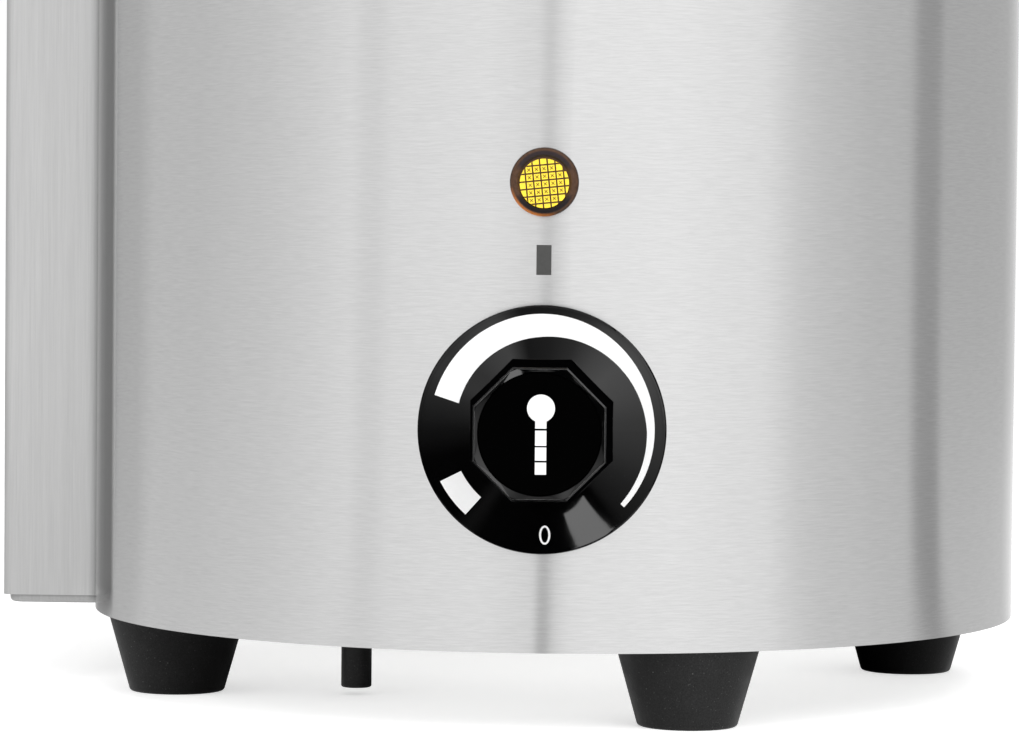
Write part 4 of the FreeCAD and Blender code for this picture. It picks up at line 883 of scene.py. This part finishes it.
def by_direction(tree, turn, stops, brightest):
    """A ramp over a whole turn in degrees, whose colours hold shares of the brightest level."""
    ramp = tree.nodes.new("ShaderNodeValToRGB")
    tree.links.new(turn, ramp.inputs[0])
    marks = ramp.color_ramp.elements
    while len(marks) > 1:
        marks.remove(marks[0])
    for i, (degrees, level) in enumerate(stops):
        place = (degrees + 180) / 360
        mark = marks[0] if i == 0 else marks.new(place)
        mark.position = place
        mark.color = (*[level / brightest] * 3, 1)
    return chain(tree, "MULTIPLY", ramp.outputs[0], brightest)


def surround_material():
    """The studio's wall and table, each by the direction in which the brushed wall mirrors it."""
    made, tree, place = empty_material("studio_surround")

    def sum_of(operation, *values):
        return chain(tree, operation, *values)

    x, y, z = axes_of(tree, place)
    far = sum_of("SQRT", sum_of("ADD", sum_of("MULTIPLY", x, x), sum_of("MULTIPLY", y, y)))
    turn = sum_of("ARCTAN2", x, sum_of("MULTIPLY", y, -1))
    bend = sum_of("MULTIPLY", sum_of("SINE", sum_of("DIVIDE", turn, 2)), SHELL_RADIUS * MM)
    aside = sum_of("DIVIDE", bend, far)
    share = sum_of("ADD", sum_of("DIVIDE", sum_of("ADD", turn, aside), 2 * math.pi), 0.5)
    near = eased(tree, far, *TABLE_FADE, 1, 0)
    near_table = sum_of("MULTIPLY", by_direction(tree, share, TABLE, BRIGHTEST), near)
    table = sum_of("ADD", near_table, sum_of("SUBTRACT", 1, near))
    show_glow(tree, sum_of("MULTIPLY", table, by_direction(tree, share, ROUND, BRIGHTEST)))
    return made


def round_room(name, lift, far, top, look):
    """A round table with a wall at its edge, in metres, that shiny surfaces alone see."""
    ring = circle(2 * SMOOTH)
    points = [(0, 0, lift)]
    faces = []
    for t in ring:
        x, y = far * math.sin(t), far * math.cos(t)
        points += [(x, y, lift), (x, y, top)]
    for i in range(len(ring)):
        a, b = 1 + 2 * i, 1 + 2 * ((i + 1) % len(ring))
        faces += [(a, b, b + 1, a + 1), (0, a, b)]
    piece = stage_mesh(name, points, faces, look)
    piece.location = (AXIS_X * MM, AXIS_Y * MM, 0)
    piece.visible_camera = False
    piece.visible_diffuse = False
    piece.visible_transmission = False
    piece.visible_shadow = False
    return piece


surround = round_room("surround", 0.0005, 3.0, 5.0, surround_material())

# The knob doesn't mirror the surround: it has lights of its own below
without_knob = bpy.data.collections.new("surround_mirrors")
without_knob.objects.link(nodes["control_knob"])
without_knob.collection_objects[0].light_linking.link_state = "EXCLUDE"
surround.light_linking.receiver_collection = without_knob

# What falls on matt surfaces is dimmer than the white that is seen
AMBIENT = 0.55
world = bpy.data.worlds.new("studio")
bpy.context.scene.world = world
world.use_nodes = True
tree = world.node_tree
tree.nodes.clear()
background = tree.nodes.new("ShaderNodeBackground")
tree.links.new(chain(tree, "MAXIMUM", white_for_views(tree, 1.0), AMBIENT), background.inputs["Strength"])
background.inputs["Color"].default_value = (1, 1, 1, 1)
out = tree.nodes.new("ShaderNodeOutputWorld")
tree.links.new(background.outputs[0], out.inputs["Surface"])


def softbox(name, place, target, size, watts):
    lamp = bpy.data.lights.new(name, "AREA")
    lamp.shape = "SQUARE"
    lamp.size = size
    lamp.energy = watts
    made = bpy.data.objects.new(name, lamp)
    made.location = place
    made.rotation_euler = (Vector(target) - Vector(place)).to_track_quat("-Z", "Y").to_euler()
    made.visible_glossy = False
    made.visible_camera = False
    bpy.context.scene.collection.objects.link(made)


softbox("key_softbox", (1.3, -1.9, 1.9), (0, 0, 0.15), 1.6, 38)
softbox("fill_softbox", (-1.9, -1.1, 1.3), (0, 0, 0.15), 1.6, 20)
softbox("top_softbox", (0.0, 0.5, 2.4), (0, 0, 0.1), 2.0, 28)


# What the knob alone mirrors: a soft surround by clock angle, a long light low on the right, and small
# lights at its sides for the lips of the grip
mirrors = bpy.data.collections.new("knob_mirrors")
mirrors.objects.link(nodes["control_knob"])
knob_face = Vector((AXIS_X, WALL_FRONT, KNOB_Z)) * MM
CLOCK = ((-180, 0), (-150, 0.02), (-143, 0.22), (-134, 0.02), (-105, 0.02), (-90, 0.25), (-72, 0.9),
         (-62, 1.6), (-48, 1.5), (-36, 2.1), (-24, 2.5), (-17, 1.3), (-11, 0.4), (5, 0.6), (20, 1.1),
         (36, 2.6), (50, 3.4), (66, 2.9), (84, 1.9), (105, 1.3), (120, 0.72), (136, 0.35), (142, 0.02),
         (180, 0))
CLOCK_BRIGHTEST = 3.5
# Degrees from the surround's front between which it dims to black in the middle, and sets in at the rim
DARK_MIDDLE, DARK_RIM = (21, 5, 1, 0), (74, 64, 0, 1)


def knob_surround_material():
    """Glows for the knob by the clock angle at which it is mirrored there, and is clear to all else."""
    made, tree, place = empty_material("knob_surround")
    x, y, z = axes_of(tree, place)
    share = chain(tree, "ADD", chain(tree, "DIVIDE", chain(tree, "ARCTAN2", x, z), 2 * math.pi), 0.5)
    ahead = by_vector(tree, "DOT_PRODUCT", by_vector(tree, "NORMALIZE", place).outputs[0])
    ahead.inputs[1].default_value = (0, -1, 0)

    def by_degrees(first, last, at_first, at_last):
        low, high = math.cos(math.radians(first)), math.cos(math.radians(last))
        return eased(tree, ahead.outputs["Value"], low, high, at_first, at_last)

    lit = chain(tree, "MULTIPLY", by_degrees(*DARK_MIDDLE), by_degrees(*DARK_RIM))
    level = chain(tree, "MULTIPLY", lit, by_direction(tree, share, CLOCK, CLOCK_BRIGHTEST))
    show_glow(tree, level, over=tree.nodes.new("ShaderNodeBsdfTransparent"))
    return made


# Its own front is where the camera sees the room in a flat mirror at the knob's place
EYE_RIGHT, EYE_UP = 1.5, 3.0
knob_room = round_room("knob_surround", 0.001, 2.9, 4.9, knob_surround_material())
turned, raised = math.radians(-EYE_RIGHT), math.radians(EYE_UP)
knob_front = Matrix.Rotation(turned, 4, "Z") @ Matrix.Rotation(raised, 4, "X")
from_knob = Matrix.Translation(knob_face) @ knob_front
knob_room.data.transform(from_knob.inverted() @ Matrix.Translation(knob_room.location))
knob_room.matrix_world = from_knob
knob_room.light_linking.receiver_collection = mirrors


def knob_light(name, place, facing, wide, long, level):
    """A flat light of even brightness that only the knob mirrors; facing is the way it shines."""
    lamp = bpy.data.lights.new(name, "AREA")
    lamp.shape = "RECTANGLE"
    lamp.size, lamp.size_y = wide * MM, long * MM
    lamp.energy = level * math.pi * lamp.size * lamp.size_y
    made = bpy.data.objects.new(name, lamp)
    made.location = place
    made.rotation_euler = facing.to_track_quat("-Z", "Y").to_euler()
    made.visible_diffuse = False
    made.visible_camera = False
    made.light_linking.receiver_collection = mirrors
    bpy.context.scene.collection.objects.link(made)


def table_light(name, right, forward, wide, long, level):
    """A card lying on the table, by its nearest left corner from the wall's front."""
    over_table = 1.5
    middle = Vector((AXIS_X + right + wide / 2, WALL_FRONT - forward - long / 2, over_table)) * MM
    knob_light(name, middle, Vector((0, 0, 1)), wide, long, level)


def lip_light(name, right, up, level):
    """A square light seen from the knob at degrees to the right and up, for the lips of its grip."""
    distance, side = 1200, 420
    turn, lift = math.radians(right), math.radians(up)
    way = Vector((math.sin(turn) * math.cos(lift), -math.cos(turn) * math.cos(lift), math.sin(lift)))
    place = knob_face + distance * MM * way
    knob_light(name, place, knob_face - place, side, side, level)


table_light("knob_glint", 18, 60, 27, 240, 7.0)
table_light("knob_lip_light_low_left", -120, 2, 70, 45, 0.6)
table_light("knob_lip_light_low_right", 50, 2, 70, 45, 2)
lip_light("knob_lip_light_left", -92, -1, 1.0)
lip_light("knob_lip_light_high_left", -92, 45, 1.3)
lip_light("knob_lip_light_high_right", 84, 45, 4)
lip_light("knob_lip_light_right", 88, 5, 1.5)


# Camera

eye = Vector((42.8, -1262.3, 129.0)) * MM
aim = Vector((2.62, AXIS_Y, 88.98)) * MM
ROLL = math.radians(0.532)
camera_data = bpy.data.cameras.new("camera")
camera_data.lens = 143.87
camera_data.sensor_width = 36.0
camera_data.clip_start = 0.05
camera = bpy.data.objects.new("camera", camera_data)
camera.location = eye
camera.rotation_mode = "QUATERNION"
rolled = Matrix.Rotation(ROLL, 4, "Z").to_quaternion()
camera.rotation_quaternion = (aim - eye).to_track_quat("-Z", "Y") @ rolled
bpy.context.scene.collection.objects.link(camera)
bpy.context.scene.camera = camera
bpy.context.scene.view_settings.view_transform = "Standard"
